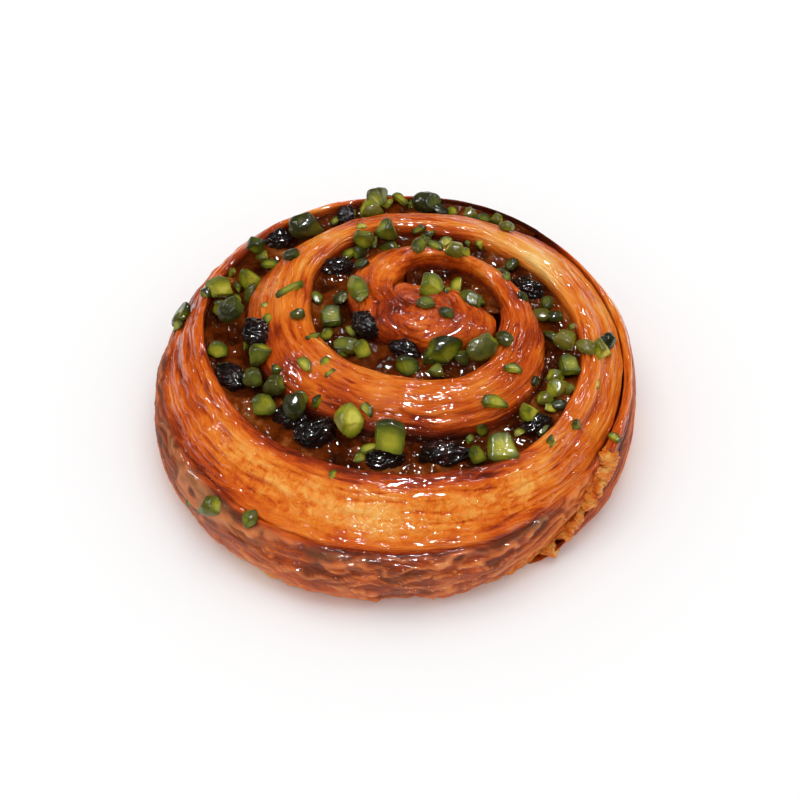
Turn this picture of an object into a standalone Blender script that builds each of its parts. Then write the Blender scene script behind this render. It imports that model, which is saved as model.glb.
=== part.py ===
"""A pain aux raisins: a strip of laminated dough rolled round custard and raisins, strewn with chopped pistachios.

The strip winds in anticlockwise, seen from above, from its outer end at the front right to a small curled core.
The seam between two turns holds the custard, or is pressed shut. All lengths are in metres, with +Z up.
"""

import math
import random

import bmesh
import bpy
import numpy as np
from mathutils import Matrix, Vector, noise
from mathutils.bvhtree import BVHTree

MM = 0.001

# The whole bun
BUN_RADIUS = 55 * MM
WIDEST_HEIGHT = 7.5 * MM
BASE_INSET = 3.1 * MM
FRONT_INSET = 1.2 * MM
CORE = Vector((4.5 * MM, 5.0 * MM))
DOME_TOP = 29 * MM
DOME_FALL = 9 * MM
DOME_REACH = 45 * MM
DOME_POWER = 1.2
FIT = 0.3 * MM

# The strip's outer end: its cut edge steps down to the turn beneath it, and slants back towards the base
TAIL_TURN = -33.0
TAIL_STEP = 2.2 * MM
TAIL_SLANT = 29.0
SLANT_REACH = 60.0
TAIL_FADE = 75.0

# The seam between two turns: its turn angle in degrees, then in millimetres its distance from the core, the half width
# of the custard in it, how far the seam lies above the custard's dome, and how far the dough rises beside it
SEAM = (
    (-33, 48.6, 0.2, -3.6, 0.5),
    (0, 46.9, 0.2, -1.2, 0.9),
    (27, 45.6, 0.2, -0.2, 1.2),
    (48, 44.9, 0.6, 0.0, 2.4),
    (66, 44.0, 1.8, 0.0, 2.8),
    (100, 43.3, 2.6, 0.0, 3.2),
    (142, 45.2, 3.6, 0.0, 3.8),
    (164, 45.2, 4.1, 0.0, 4.0),
    (187, 42.2, 4.6, 0.0, 4.2),
    (217, 38.2, 4.8, 0.0, 4.4),
    (245, 35.2, 4.9, 0.0, 4.6),
    (282, 34.4, 4.7, 0.0, 4.8),
    (305, 35.2, 4.2, 0.0, 4.6),
    (328, 34.7, 3.6, 0.0, 4.4),
    (355, 33.2, 3.6, 0.0, 4.4),
    (383, 30.8, 3.3, 0.0, 4.6),
    (408, 29.3, 2.9, 0.0, 4.8),
    (440, 28.4, 2.6, 0.0, 4.8),
    (472, 28.8, 3.0, 0.0, 4.8),
    (500, 25.2, 3.9, 0.0, 5.0),
    (518, 21.2, 4.4, 0.0, 5.2),
    (539, 17.8, 4.9, 0.0, 5.2),
    (560, 15.4, 4.9, 0.0, 5.2),
    (583, 13.0, 4.6, 0.0, 5.2),
    (611, 11.6, 4.3, 0.0, 5.2),
    (643, 12.9, 4.2, 0.0, 5.0),
    (666, 14.4, 3.6, 0.0, 4.6),
    (688, 16.2, 2.4, 0.2, 3.8),
    (706, 17.6, 0.4, 2.2, 1.8),
    (722, 18.4, 0.4, 2.2, 1.8),
    (740, 18.2, 1.6, 0.0, 3.8),
    (765, 17.8, 3.1, -1.0, 5.4),
    (790, 17.0, 3.7, -1.4, 5.8),
    (812, 15.2, 3.0, -0.8, 5.0),
    (829, 12.6, 0.6, 2.0, 2.6),
    (850, 8.0, 0.2, 4.6, 0.6),
    (879, 0.0, 0.2, 5.2, 0.4),
)
SEAM_END = SEAM[-1][0]
CUSTARD_RUNS = {"custard_outer": (51, 699), "custard_inner": (735, 819)}

# How far the outline lies outside a circle, in millimetres, by its direction from the core in degrees
TRIM = (
    (-90, -1.4),
    (-70, -0.9),
    (-50, -1.3),
    (-36, -0.5),
    (-20, -0.4),
    (0, 0.0),
    (12, 0.5),
    (27, 0.0),
    (40, -0.2),
    (60, -0.2),
    (90, 0.0),
    (108, 0.0),
    (122, 0.3),
    (135, 1.3),
    (150, 1.0),
    (168, 0.4),
    (195, 0.8),
    (208, 0.7),
    (220, 0.2),
    (232, -0.3),
    (250, -0.9),
    (270, -1.4),
)

# The shoulder, where the top of the outer turn rolls over into the side: its direction in degrees, and in millimetres
# its height, how far it lies inside the outline, and how far the dough rises beside it
SHOULDER = (
    (-33, 16.0, 1.2, 2.0),
    (0, 17.5, 1.2, 1.8),
    (27, 18.4, 1.2, 1.2),
    (48, 18.0, 1.3, 0.8),
    (90, 17.4, 1.5, 0.4),
    (135, 17.2, 2.6, 1.4),
    (180, 15.5, 3.6, 2.0),
    (225, 14.6, 5.0, 2.0),
    (270, 14.6, 4.8, 2.0),
    (290, 15.0, 3.2, 2.0),
    (305, 15.3, 2.4, 2.0),
    (327, 15.5, 2.5, 2.0),
)

# How finely the solids are cut
STATIONS_A_TURN = 60
LAST_STATION = 359.0
RIDGE_ROWS = 7
UPPER_SIDE_ROWS = 4
LOWER_SIDE_ROWS = 2

# Custard: it narrows down to the base
CUSTARD_ROOT = 1.1 * MM
CUSTARD_EDGE = 0.25 * MM
CUSTARD_LUMP = 0.7 * MM

# Relief of the baked dough
LUMP_SIZE = 9 * MM
LUMP_DEPTH = 0.35 * MM
FLAKE_SIZE = 7 * MM
FLAKE_DEPTH = 0.6 * MM

# The camera of the photograph, through whose pixels the toppings find their places
VIEW_ELEVATION = math.radians(50)
VIEW_DISTANCE = 550 * MM
VIEW_AIM = Vector((0, 0, 12 * MM))
AIM_PIXEL = (397, 387)
PIXELS_PER_METRE = 4360

# Raisins: the pixel where each one lies, its length, width and height in millimetres, and its heading in degrees
RAISINS = (
    (279, 240, 6.5, 5.0, 4.6, 20),
    (346, 215, 5.2, 4.6, 4.2, 60),
    (338, 267, 8.0, 5.2, 4.8, 15),
    (256, 332, 8.6, 6.4, 5.2, -60),
    (229, 377, 8.8, 6.0, 4.8, -50),
    (289, 417, 7.8, 5.8, 5.2, -30),
    (316, 435, 9.2, 7.6, 6.2, 30),
    (384, 459, 8.4, 5.6, 4.6, 10),
    (446, 454, 10.6, 6.4, 5.4, 0),
    (537, 425, 7.0, 4.8, 4.6, 20),
    (528, 288, 7.6, 5.2, 4.6, -30),
    (366, 325, 7.6, 5.4, 5.0, -40),
    (404, 349, 7.6, 4.8, 4.8, -20),
)
RAISIN_SINK = 0.42
RAISIN_WRINKLE = 0.16

# Pistachio pieces as large as berries: the pixel, length, width, height, heading, and how the kernel was cut
PISTACHIOS = (
    (427, 200, 8.0, 5.6, 5.0, -25, "half"),
    (372, 209, 7.2, 5.0, 4.6, 10, "chunk"),
    (308, 227, 9.6, 7.4, 6.4, 25, "end"),
    (256, 248, 5.4, 4.2, 5.0, 80, "chunk"),
    (251, 277, 6.6, 6.0, 5.4, 60, "wedge"),
    (217, 289, 8.0, 5.6, 5.0, 5, "block"),
    (222, 310, 6.0, 5.0, 4.6, -30, "wedge"),
    (243, 317, 7.2, 6.2, 5.2, 20, "half"),
    (217, 350, 5.6, 4.6, 4.0, -35, "wedge"),
    (259, 353, 7.4, 5.0, 4.6, 20, "chunk"),
    (253, 378, 5.2, 5.0, 5.0, 0, "half"),
    (274, 386, 6.0, 5.0, 4.4, 15, "half"),
    (264, 408, 7.2, 5.6, 5.0, 20, "wedge"),
    (297, 409, 6.6, 5.4, 5.2, 70, "half"),
    (352, 420, 8.6, 7.6, 7.0, 60, "wedge"),
    (397, 432, 9.8, 8.8, 7.0, -20, "block"),
    (503, 449, 9.0, 8.0, 5.6, 0, "block"),
    (478, 457, 5.2, 4.6, 4.8, 40, "wedge"),
    (530, 416, 6.2, 4.8, 4.8, 70, "wedge"),
    (557, 387, 6.6, 4.4, 3.8, 50, "chunk"),
    (570, 366, 6.2, 6.0, 4.8, 0, "block"),
    (565, 340, 7.2, 4.8, 4.4, -30, "chunk"),
    (603, 350, 7.2, 6.0, 3.8, 45, "wedge"),
    (361, 237, 5.6, 5.0, 5.4, 80, "chunk"),
    (388, 237, 6.6, 5.2, 4.8, -10, "chunk"),
    (455, 248, 6.2, 4.2, 4.0, -15, "chunk"),
    (357, 288, 9.4, 4.6, 4.2, -65, "half"),
    (331, 315, 6.8, 6.2, 4.8, 0, "block"),
    (348, 345, 7.2, 4.4, 4.0, -10, "half"),
    (364, 353, 6.2, 5.0, 4.4, 40, "wedge"),
    (407, 365, 6.6, 5.2, 4.0, -25, "wedge"),
    (443, 350, 10.4, 7.4, 5.0, 5, "wedge"),
    (481, 346, 8.4, 6.4, 3.4, 35, "half"),
    (432, 283, 7.8, 6.6, 5.6, 20, "wedge"),
    (471, 297, 6.2, 4.2, 4.0, -35, "half"),
    (289, 288, 7.6, 3.8, 3.0, 30, "sliver"),
    (210, 506, 8.0, 4.6, 3.8, -5, "chunk"),
)
PISTACHIO_SINK = 0.7 * MM

# Small pistachio bits, fused to what they lie on: the pixel, length in millimetres, heading and cut
BITS = (
    (400, 199, 4.6, -40, "sliver"),
    (379, 191, 3.8, 80, "wedge"),
    (470, 214, 5.0, 10, "chunk"),
    (497, 219, 4.2, -30, "chunk"),
    (507, 227, 4.6, -50, "half"),
    (452, 211, 3.6, 0, "wedge"),
    (336, 221, 3.4, 50, "sliver"),
    (292, 255, 4.6, 0, "half"),
    (270, 265, 4.8, -20, "sliver"),
    (233, 272, 3.4, 60, "wedge"),
    (265, 306, 2.8, 0, "wedge"),
    (298, 314, 4.0, 10, "half"),
    (246, 345, 3.4, 60, "sliver"),
    (276, 369, 3.4, 10, "chunk"),
    (304, 365, 4.4, -60, "sliver"),
    (325, 362, 3.6, 20, "wedge"),
    (330, 373, 2.8, 30, "sliver"),
    (333, 475, 3.0, 20, "wedge"),
    (370, 449, 4.8, 30, "sliver"),
    (495, 403, 6.2, -15, "sliver"),
    (481, 430, 4.2, -50, "wedge"),
    (513, 369, 4.4, -10, "sliver"),
    (535, 381, 3.0, 60, "half"),
    (545, 398, 4.8, 10, "chunk"),
    (569, 389, 3.8, 0, "half"),
    (553, 441, 3.8, 60, "wedge"),
    (577, 425, 3.8, 30, "wedge"),
    (597, 384, 3.0, 80, "sliver"),
    (614, 438, 3.6, -50, "sliver"),
    (547, 303, 4.2, 80, "half"),
    (555, 317, 4.4, 0, "half"),
    (572, 327, 2.6, 30, "wedge"),
    (508, 276, 4.0, 70, "wedge"),
    (512, 264, 4.0, 50, "half"),
    (425, 240, 4.4, 80, "half"),
    (480, 244, 3.4, 70, "wedge"),
    (468, 243, 2.8, 60, "wedge"),
    (350, 254, 4.4, 50, "sliver"),
    (362, 264, 4.0, 10, "half"),
    (317, 298, 3.8, -50, "half"),
    (327, 334, 4.2, 10, "wedge"),
    (350, 331, 3.8, -60, "sliver"),
    (437, 370, 5.0, -20, "chunk"),
    (505, 339, 5.0, -50, "half"),
    (458, 286, 5.2, 80, "sliver"),
    (448, 290, 3.0, 60, "sliver"),
    (426, 303, 4.6, 10, "half"),
    (447, 313, 4.0, -20, "half"),
    (191, 503, 3.2, 20, "sliver"),
    (250, 518, 5.0, 80, "half"),
    (167, 312, 4.6, 10, "half"),
)
BIT_WIDTH = 0.72
BIT_HEIGHT = 0.62
BIT_SINK = 0.7 * MM
BIT_TRIES = 60
BIT_STRAY = 1.6

# How a kernel is cut, as planes in shares of its half length, width and height: a point, then the way that is cut off
CUTS = {
    "half": (((0, 0, -0.2), (0, 0, -1)), ((0.85, 0, 0), (1, 0.2, 0.2))),
    "end": (((0.5, 0, 0), (1, 0.1, 0.3)), ((0, 0, -0.5), (0, 0, -1))),
    "chunk": (((0.62, 0, 0), (1, 0.3, 0.3)), ((-0.66, 0, 0), (-1, 0.2, 0.3)), ((0, 0, -0.5), (0, 0, -1))),
    "block": (
        ((0.68, 0, 0), (1, 0.15, 0.1)),
        ((-0.68, 0, 0), (-1, -0.15, 0.1)),
        ((0, 0, 0.4), (0.1, -0.25, 1)),
        ((0, -0.7, 0), (0.1, -1, 0.1)),
        ((0, 0, -0.6), (0, 0, -1)),
    ),
    "wedge": (
        ((0.15, 0, 0.3), (0.8, -0.35, 0.6)),
        ((-0.7, 0, 0), (-1, 0.3, 0.1)),
        ((0, -0.35, 0.2), (-0.2, -1, 0.4)),
        ((0, 0, -0.6), (0, 0, -1)),
    ),
    "sliver": (((0, 0, 0.35), (0.05, 0.15, 1)), ((0, 0, -0.35), (0, 0, -1)), ((0, -0.4, 0), (0.15, -1, 0.2))),
}
CUT_JITTER = 0.18
ROUND_CUTS = ("half", "end")

# Looks: base colour, roughness
BAKED = ((0.55, 0.22, 0.06), 0.35)
CUSTARD = ((0.35, 0.15, 0.05), 0.25)
RAISIN = ((0.03, 0.012, 0.01), 0.2)
SKIN_GREEN = ((0.10, 0.14, 0.03), 0.35)
CUT_GREEN = ((0.42, 0.45, 0.08), 0.45)


def smooth(table, x, column=1):
    """The value at x of a smooth curve through one column of a table that is sorted by its first column."""
    knots = np.array([row[0] for row in table], float)
    values = np.array([row[column] for row in table], float)
    slopes = np.gradient(values, knots)
    x = np.clip(x, knots[0], knots[-1])
    i = np.clip(np.searchsorted(knots, x, side="right") - 1, 0, len(knots) - 2)
    span = knots[i + 1] - knots[i]
    t = (x - knots[i]) / span
    start = (1 + 2 * t) * (1 - t) ** 2 * values[i] + t * (1 - t) ** 2 * span * slopes[i]
    end = t * t * (3 - 2 * t) * values[i + 1] - t * t * (1 - t) * span * slopes[i + 1]
    return start + end


def ease(t):
    t = np.clip(t, 0, 1)
    return t * t * (3 - 2 * t)


def custard_dome(r):
    """The height of the custard's dome at a distance r from the core."""
    return DOME_TOP - DOME_FALL * (r / DOME_REACH) ** DOME_POWER


def outline(turn):
    """The distance from the core to the bun's outline in the direction of a turn angle."""
    x, y = np.cos(np.radians(turn)), np.sin(np.radians(turn))
    along = CORE.x * x + CORE.y * y
    across = CORE.x * y - CORE.y * x
    trim = smooth(TRIM, (turn + 90) % 360 - 90) * MM
    return np.sqrt(BUN_RADIUS**2 - across**2) - along + trim


def base_inset(turn):
    """How far the base lies inside the outline: more at the front than at the back."""
    return BASE_INSET - FRONT_INSET * np.sin(np.radians(turn))


def tail_step(turn):
    """How far the outer turn lies below the strip's outer end, which covers it from the seam on."""
    return TAIL_STEP * ease((turn - (TAIL_TURN + 360 - TAIL_FADE)) / TAIL_FADE)


def seam(turn):
    """(radius, half width, level, rise of the dough beside it) of the seam at a turn angle."""
    r = np.where(turn < SEAM_END, smooth(SEAM, turn, 1), 0) * MM
    half = np.maximum(smooth(SEAM, turn, 2), 0.15) * MM
    level = custard_dome(r) + smooth(SEAM, turn, 3) * MM
    return r, np.minimum(half, r), level, np.maximum(smooth(SEAM, turn, 4), 0) * MM


def shoulder(turn):
    """The same four values where the outer turn ends in the side."""
    r = outline(turn) - tail_step(turn) - smooth(SHOULDER, turn, 2) * MM
    return r, 0 * r, smooth(SHOULDER, turn, 1) * MM, smooth(SHOULDER, turn, 3) * MM


def ridge(turn, w):
    """(distance from the core, height) of the dough between two seams, with w from 0 at the inner to 1 at the outer."""
    r_in, half_in, level_in, rise_in = seam(turn)
    outer = turn < TAIL_TURN + 360
    r_out, half_out, level_out, rise_out = np.where(outer, shoulder(turn), seam(turn - 360))
    v = (1 - np.cos(np.pi * w)) / 2
    r = (r_in + half_in) * (1 - v) + (r_out - half_out) * v
    steepness = 0.9 + np.where(outer, 0.8, 0) * v
    bump = np.maximum(np.sin(np.pi * w), 0) ** steepness
    return r, level_in * (1 - v) + level_out * v + (rise_in * (1 - v) + rise_out * v) * bump


def surface(x, y):
    """The height of the bun's top over a point seen from above, and 0 outside it."""
    dx, dy = x - CORE.x, y - CORE.y
    r, angle = np.hypot(dx, dy), np.degrees(np.arctan2(dy, dx))
    first = (angle - TAIL_TURN) % 360 + TAIL_TURN
    height = np.zeros_like(r)
    for lap in range(4):
        turn = first + 360 * lap
        r_in, half_in = seam(turn)[:2]
        r_out, half_out = seam(turn - 360)[:2] if lap else shoulder(turn)[:2]
        width = np.maximum(r_out - half_out - r_in - half_in, 1e-6)
        v = np.clip((r - r_in - half_in) / width, 0, 1)
        here = (r >= r_in) & (r < r_out)
        height = np.where(here, ridge(turn, np.arccos(1 - 2 * v) / np.pi)[1], height)
    r_top, _, z_top, _ = shoulder(first)
    edge = outline(first) - tail_step(first)
    reach = np.clip((r - r_top) / (edge - r_top), 0, 1)
    side = WIDEST_HEIGHT + (z_top - WIDEST_HEIGHT) * np.sqrt(1 - reach**2)
    return np.where(r >= r_top, np.where(r < edge, side, 0), height)


def core_point(r, turn, z):
    """The point at a distance and turn angle from the core, and at a height."""
    angle = math.radians(turn)
    return Vector((CORE.x + r * math.cos(angle), CORE.y + r * math.sin(angle), z))


def side_section(turn):
    """The points down the side in one direction, from below the shoulder to the base."""
    r_top, _, z_top, _ = shoulder(turn)
    near_tail = max(0, 1 - min(turn - TAIL_TURN, TAIL_TURN + 360 - turn) / SLANT_REACH)
    levels = []
    for k in range(1, UPPER_SIDE_ROWS + 1):
        beta = math.pi / 2 * (1 - k / UPPER_SIDE_ROWS)
        levels.append((math.cos(beta), WIDEST_HEIGHT + (z_top - WIDEST_HEIGHT) * math.sin(beta), 0))
    for k in range(1, LOWER_SIDE_ROWS + 1):
        gamma = math.pi / 2 * k / LOWER_SIDE_ROWS
        levels.append((1, WIDEST_HEIGHT * (1 - math.sin(gamma)), base_inset(turn) * (1 - math.cos(gamma))))
    points = []
    for share, z, inset in levels:
        slanted = turn - TAIL_SLANT * near_tail * (1 - z / z_top)
        widest = outline(slanted) - tail_step(turn)
        r = widest - (widest - r_top) * (1 - share) - inset
        point = core_point(r, slanted, z)
        flat = Vector((point.x * 0.4, point.y * 0.4, point.z * 2.4)) / FLAKE_SIZE
        flake = (0.6 - (1 - abs(noise.noise(flat))) ** 3) * FLAKE_DEPTH * min(1, z / (3 * MM))
        points.append(core_point(r - max(0, flake), slanted, z))
    return points


def station_turns():
    """The turn angles of the stations, closer together where the strip's outer end steps down."""
    lap = [k * 360 / STATIONS_A_TURN for k in range(STATIONS_A_TURN)] + [LAST_STATION]
    laps = [TAIL_TURN + 360 * n + offset for n in range(5) for offset in lap]
    return [turn for turn in laps if turn <= SEAM_END + 366], len(lap)


def mesh_object(name, mesh, looks):
    """A smooth-shaded object from a bmesh, with a material for each of the looks."""
    data = bpy.data.meshes.new(name)
    mesh.to_mesh(data)
    mesh.free()
    thing = bpy.data.objects.new(name, data)
    bpy.context.scene.collection.objects.link(thing)
    for look in looks:
        data.materials.append(look)
    data.shade_smooth()
    return thing


def material(name, look):
    colour, roughness = look
    made = bpy.data.materials.new(name)
    made.use_nodes = True
    shader = made.node_tree.nodes["Principled BSDF"]
    shader.inputs["Base Color"].default_value = (*colour, 1)
    shader.inputs["Roughness"].default_value = roughness
    return made


def is_open(turn):
    """Whether custard parts the seam at a turn angle."""
    return any(start <= turn <= end for start, end in CUSTARD_RUNS.values())


def seam_sides(turn):
    """The seam's section: its middle at top and base, then (top, base) of its outer and its inner wall."""
    r, half, level, _ = (float(value) for value in seam(turn))
    spread, root = half, 0
    if is_open(turn):
        spread, root = half + FIT, min(0.8 * half, CUSTARD_ROOT) + FIT
    walls = []
    for way in (1, -1):
        walls.append((core_point(r + way * spread, turn, level), core_point(r + way * root, turn, 0)))
    return (core_point(r, turn, level), core_point(r, turn, 0)), walls[0], walls[1]


def ridge_row(turn):
    """The points over the dough's top from one seam to the next, or to the shoulder."""
    fit_in = FIT if is_open(turn) else 0
    fit_out = FIT if is_open(turn - 360) else 0
    lump_depth = LUMP_DEPTH * min(1, float(ridge(turn, 1)[0] - ridge(turn, 0)[0]) / LUMP_SIZE)
    points = []
    for k in range(RIDGE_ROWS):
        w = k / (RIDGE_ROWS - 1)
        r, z = (float(value) for value in ridge(turn, w))
        point = core_point(r + fit_in * (1 - w) - fit_out * w, turn, z)
        point.z += noise.noise(point / LUMP_SIZE) * lump_depth * math.sin(math.pi * w)
        points.append(point)
    return points


def strip_section(turn):
    """(top row, base row) of the strip at a turn angle, from its inner seam to its outer one or to the shoulder."""
    middle, outer_wall, _ = seam_sides(turn)
    top, base = (outer_wall if is_open(turn) else middle)
    row, floor = [top, *ridge_row(turn)], [base]
    if turn >= TAIL_TURN + 360:
        middle, _, inner_wall = seam_sides(turn - 360)
        top, base = (inner_wall if is_open(turn - 360) else middle)
        row.append(top)
        floor.append(base)
    else:
        floor.append(side_section(turn)[-1])
    return row, floor


def bun_body(looks):
    """The dough as one closed skin: rows that wind in to the core, the slots for the custard, the side and the base."""
    turns, lap = station_turns()
    mesh = bmesh.new()

    def face(*points):
        mesh.faces.new([mesh.verts.new(point) for point in points])

    def band(a, b):
        for p, q, s, t in zip(a, a[1:], b[1:], b):
            face(p, q, s, t)

    sections = [strip_section(turn) for turn in turns]
    for (row, floor), (next_row, next_floor), turn, following in zip(sections, sections[1:], turns, turns[1:]):
        band(row, next_row)
        band(floor, next_floor)
        if is_open(turn) and is_open(following):
            for wall, next_wall in zip(seam_sides(turn)[1:], seam_sides(following)[1:]):
                band(wall, next_wall)
        elif is_open(turn) or is_open(following):
            opened, shut = (turn, following) if is_open(turn) else (following, turn)
            (_, outer_wall, inner_wall), (middle, _, _) = seam_sides(opened), seam_sides(shut)
            face(outer_wall[0], inner_wall[0], middle[0])
            face(outer_wall[1], inner_wall[1], middle[1])
            face(*outer_wall, *inner_wall[::-1])
    sides = [[sections[i][0][-1], *side_section(turns[i])] for i in range(lap)]
    for here, there in zip(sides, sides[1:] + sides[:1]):
        band(here, there)
    face(sections[lap - 1][0][-1], sections[lap][0][-2], *sections[0][0])
    face(sections[lap - 1][1][-1], sections[0][1][0], sections[0][1][-1])
    bmesh.ops.remove_doubles(mesh, verts=mesh.verts, dist=1e-6)
    bmesh.ops.delete(mesh, geom=[edge for edge in mesh.edges if not edge.link_faces], context="EDGES")
    bmesh.ops.recalc_face_normals(mesh, faces=mesh.faces)
    bmesh.ops.triangulate(mesh, faces=mesh.faces)
    return mesh_object("dough", mesh, looks)


def custard_section(turn):
    """The points round the custard at a turn angle."""
    r, half, level, _ = (float(value) for value in seam(turn))
    root = min(0.8 * half, CUSTARD_ROOT)
    section = [(-half, level - CUSTARD_EDGE)]
    for way in (-1, 1):
        lump = noise.noise(core_point(r, turn, 0) / (5 * MM) + Vector((way, 0, 0))) * CUSTARD_LUMP
        section.append((way * half / 3, level + lump))
    section += [(half, level - CUSTARD_EDGE), (root, 0), (-root, 0)]
    return [core_point(r + across, turn, z) for across, z in section]


def custard_strip(name, run, looks):
    """The custard along one run of the seam."""
    ends = []
    for turn, way in zip(run, (1, -1)):
        ends.append(turn + way * math.degrees(FIT / float(seam(turn)[0])))
    stations = [turn for turn in station_turns()[0] if run[0] < turn < run[1]]
    mesh = bmesh.new()
    rings = [[mesh.verts.new(p) for p in custard_section(turn)] for turn in (ends[0], *stations, ends[1])]
    for a, b in zip(rings, rings[1:]):
        for p, q, s, t in zip(a, a[1:] + a[:1], b[1:] + b[:1], b):
            mesh.faces.new((p, q, s, t))
    mesh.faces.new(rings[0])
    mesh.faces.new(rings[-1])
    bmesh.ops.triangulate(mesh, faces=mesh.faces)
    bmesh.ops.recalc_face_normals(mesh, faces=mesh.faces)
    return mesh_object(name, mesh, looks)


def boolean(target, operation, others):
    """Cuts the others from the target, or joins them to it, and removes them."""
    if not others:
        return
    group = bpy.data.collections.new(operation)
    for other in others:
        group.objects.link(other)
    modifier = target.modifiers.new(operation, "BOOLEAN")
    modifier.operation = operation
    modifier.solver = "MANIFOLD"
    modifier.operand_type = "COLLECTION"
    modifier.collection = group
    bpy.context.view_layer.objects.active = target
    bpy.ops.object.modifier_apply(modifier=modifier.name)
    for other in others:
        bpy.data.objects.remove(other)
    bpy.data.collections.remove(group)


def seen_place(px, py, lift):
    """(point, normal) behind a pixel of the photograph, at a height of lift above the bun's surface."""
    forward = Vector((0, math.cos(VIEW_ELEVATION), -math.sin(VIEW_ELEVATION)))
    up = Vector((0, math.sin(VIEW_ELEVATION), math.cos(VIEW_ELEVATION)))
    focal = PIXELS_PER_METRE * VIEW_DISTANCE
    ray = forward + Vector(((px - AIM_PIXEL[0]) / focal, 0, 0)) - up * ((py - AIM_PIXEL[1]) / focal)
    eye = VIEW_AIM - forward * VIEW_DISTANCE
    depth = VIEW_DISTANCE + np.linspace(-80, 80, 1601) * MM
    path = np.array(eye)[:, None] + np.array(ray)[:, None] * depth
    first = int(np.argmax(path[2] < surface(path[0], path[1]) + lift))
    x, y, z = path[:, first]
    reach = 1.2 * MM
    slope_x = surface(x + reach, y) - surface(x - reach, y)
    slope_y = surface(x, y + reach) - surface(x, y - reach)
    normal = Vector((-float(slope_x), -float(slope_y), 2 * reach)).normalized()
    return Vector((x, y, z)), normal


def standing(place, normal, heading):
    """The matrix of a topping in its place, with its length along a heading."""
    up = (normal + Vector((0, 0, 0.35))).normalized()
    angle = math.radians(heading)
    along = Vector((math.cos(angle), math.sin(angle), 0))
    side = up.cross(along).normalized()
    turn = Matrix((side.cross(up), side, up)).transposed().to_4x4()
    return Matrix.Translation(place) @ turn


def pistachio_mesh(length, width, height, cut, seed, detail):
    """A kernel cut by planes, its length along X. Cut faces have the second material."""
    draw = random.Random(seed)
    mesh = bmesh.new()
    bmesh.ops.create_icosphere(mesh, subdivisions=detail, radius=1)
    for point, way in CUTS[cut]:
        jitter = Vector([draw.uniform(-CUT_JITTER, CUT_JITTER) for _ in range(3)])
        geometry = mesh.verts[:] + mesh.edges[:] + mesh.faces[:]
        way = (Vector(way) + jitter).normalized()
        cut_off = bmesh.ops.bisect_plane(mesh, geom=geometry, plane_co=point, plane_no=way, clear_outer=True)
        rim = [e for e in cut_off["geom_cut"] if isinstance(e, bmesh.types.BMEdge)]
        for face in bmesh.ops.holes_fill(mesh, edges=rim)["faces"]:
            face.material_index = 1
    bmesh.ops.remove_doubles(mesh, verts=mesh.verts, dist=0.12)
    bmesh.ops.scale(mesh, vec=(length / 2, width / 2, height / 2), verts=mesh.verts)
    bmesh.ops.recalc_face_normals(mesh, faces=mesh.faces)
    bmesh.ops.triangulate(mesh, faces=mesh.faces)
    return mesh


def raisin_mesh(length, width, height, seed, detail):
    """A wrinkled raisin, its length along X."""
    mesh = bmesh.new()
    bmesh.ops.create_icosphere(mesh, subdivisions=detail, radius=1)
    shift = Vector((seed * 3.1, 0, 0))
    for vertex in mesh.verts:
        fold = noise.noise(vertex.co * 1.7 + shift) + 0.6 * noise.noise(vertex.co * 3.9 + shift)
        vertex.co *= 1 + RAISIN_WRINKLE * fold
    bmesh.ops.scale(mesh, vec=(length / 2, width / 2, height / 2), verts=mesh.verts)
    return mesh


def tree_of(thing, grow=0):
    """A search tree of a topping's faces, grown about its middle."""
    points = [thing.matrix_world @ v.co for v in thing.data.vertices]
    middle = sum(points, Vector()) / len(points)
    points = [p + (p - middle).normalized() * grow for p in points]
    return BVHTree.FromPolygons(points, [tuple(f.vertices) for f in thing.data.polygons])


def grown_copy(thing, grow):
    copy = thing.copy()
    copy.data = thing.data.copy()
    bpy.context.scene.collection.objects.link(copy)
    middle = sum((v.co for v in copy.data.vertices), Vector()) / len(copy.data.vertices)
    for vertex in copy.data.vertices:
        vertex.co += (vertex.co - middle).normalized() * grow
    return copy


def lift_clear(thing, up, others):
    """Raises a topping until it is clear of the others."""
    step = 0.15 * MM
    for _ in range(50):
        tree = tree_of(thing, 1.4 * FIT)
        if not any(tree.overlap(other) for other in others):
            break
        thing.matrix_world = Matrix.Translation(up * step) @ thing.matrix_world


def make_toppings(looks, carriers):
    """The raisins, the large pistachio pieces that lie on top, and the trees of the faces of both."""
    raisins, placed = [], []
    for number, (px, py, length, width, height, heading) in enumerate(RAISINS, 1):
        place, normal = seen_place(px, py, (0.5 - RAISIN_SINK) * height * MM)
        mesh = raisin_mesh(length * MM, width * MM, height * MM, number, 2)
        thing = mesh_object(f"raisin_{number:02d}", mesh, [looks["raisin"]])
        thing.matrix_world = standing(place, normal, heading)
        lift_clear(thing, normal, placed)
        raisins.append(thing)
        placed.append(tree_of(thing))
    grounds = [tree_of(carrier) for carrier in carriers]
    for number, (px, py, length, width, height, heading, cut) in enumerate(PISTACHIOS, 1):
        place, normal = seen_place(px, py, height / 2 * MM - PISTACHIO_SINK)
        mesh = pistachio_mesh(length * MM, width * MM, height * MM, cut, number, 2 if cut in ROUND_CUTS else 1)
        thing = mesh_object(f"pistachio_{number:02d}", mesh, [looks["pistachio_skin"], looks["pistachio_cut"]])
        thing.matrix_world = standing(place, normal, heading)
        lift_clear(thing, normal, placed + grounds)
        placed.append(tree_of(thing))
    return raisins, placed


def corners_inside(thing, tree):
    """How many of a thing's corners lie inside a closed body."""
    count = 0
    for vertex in thing.data.vertices:
        _, normal, _, _ = tree.ray_cast(thing.matrix_world @ vertex.co, Vector((0, 0, 1)))
        count += normal is not None and normal.z > 0
    return count


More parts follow.
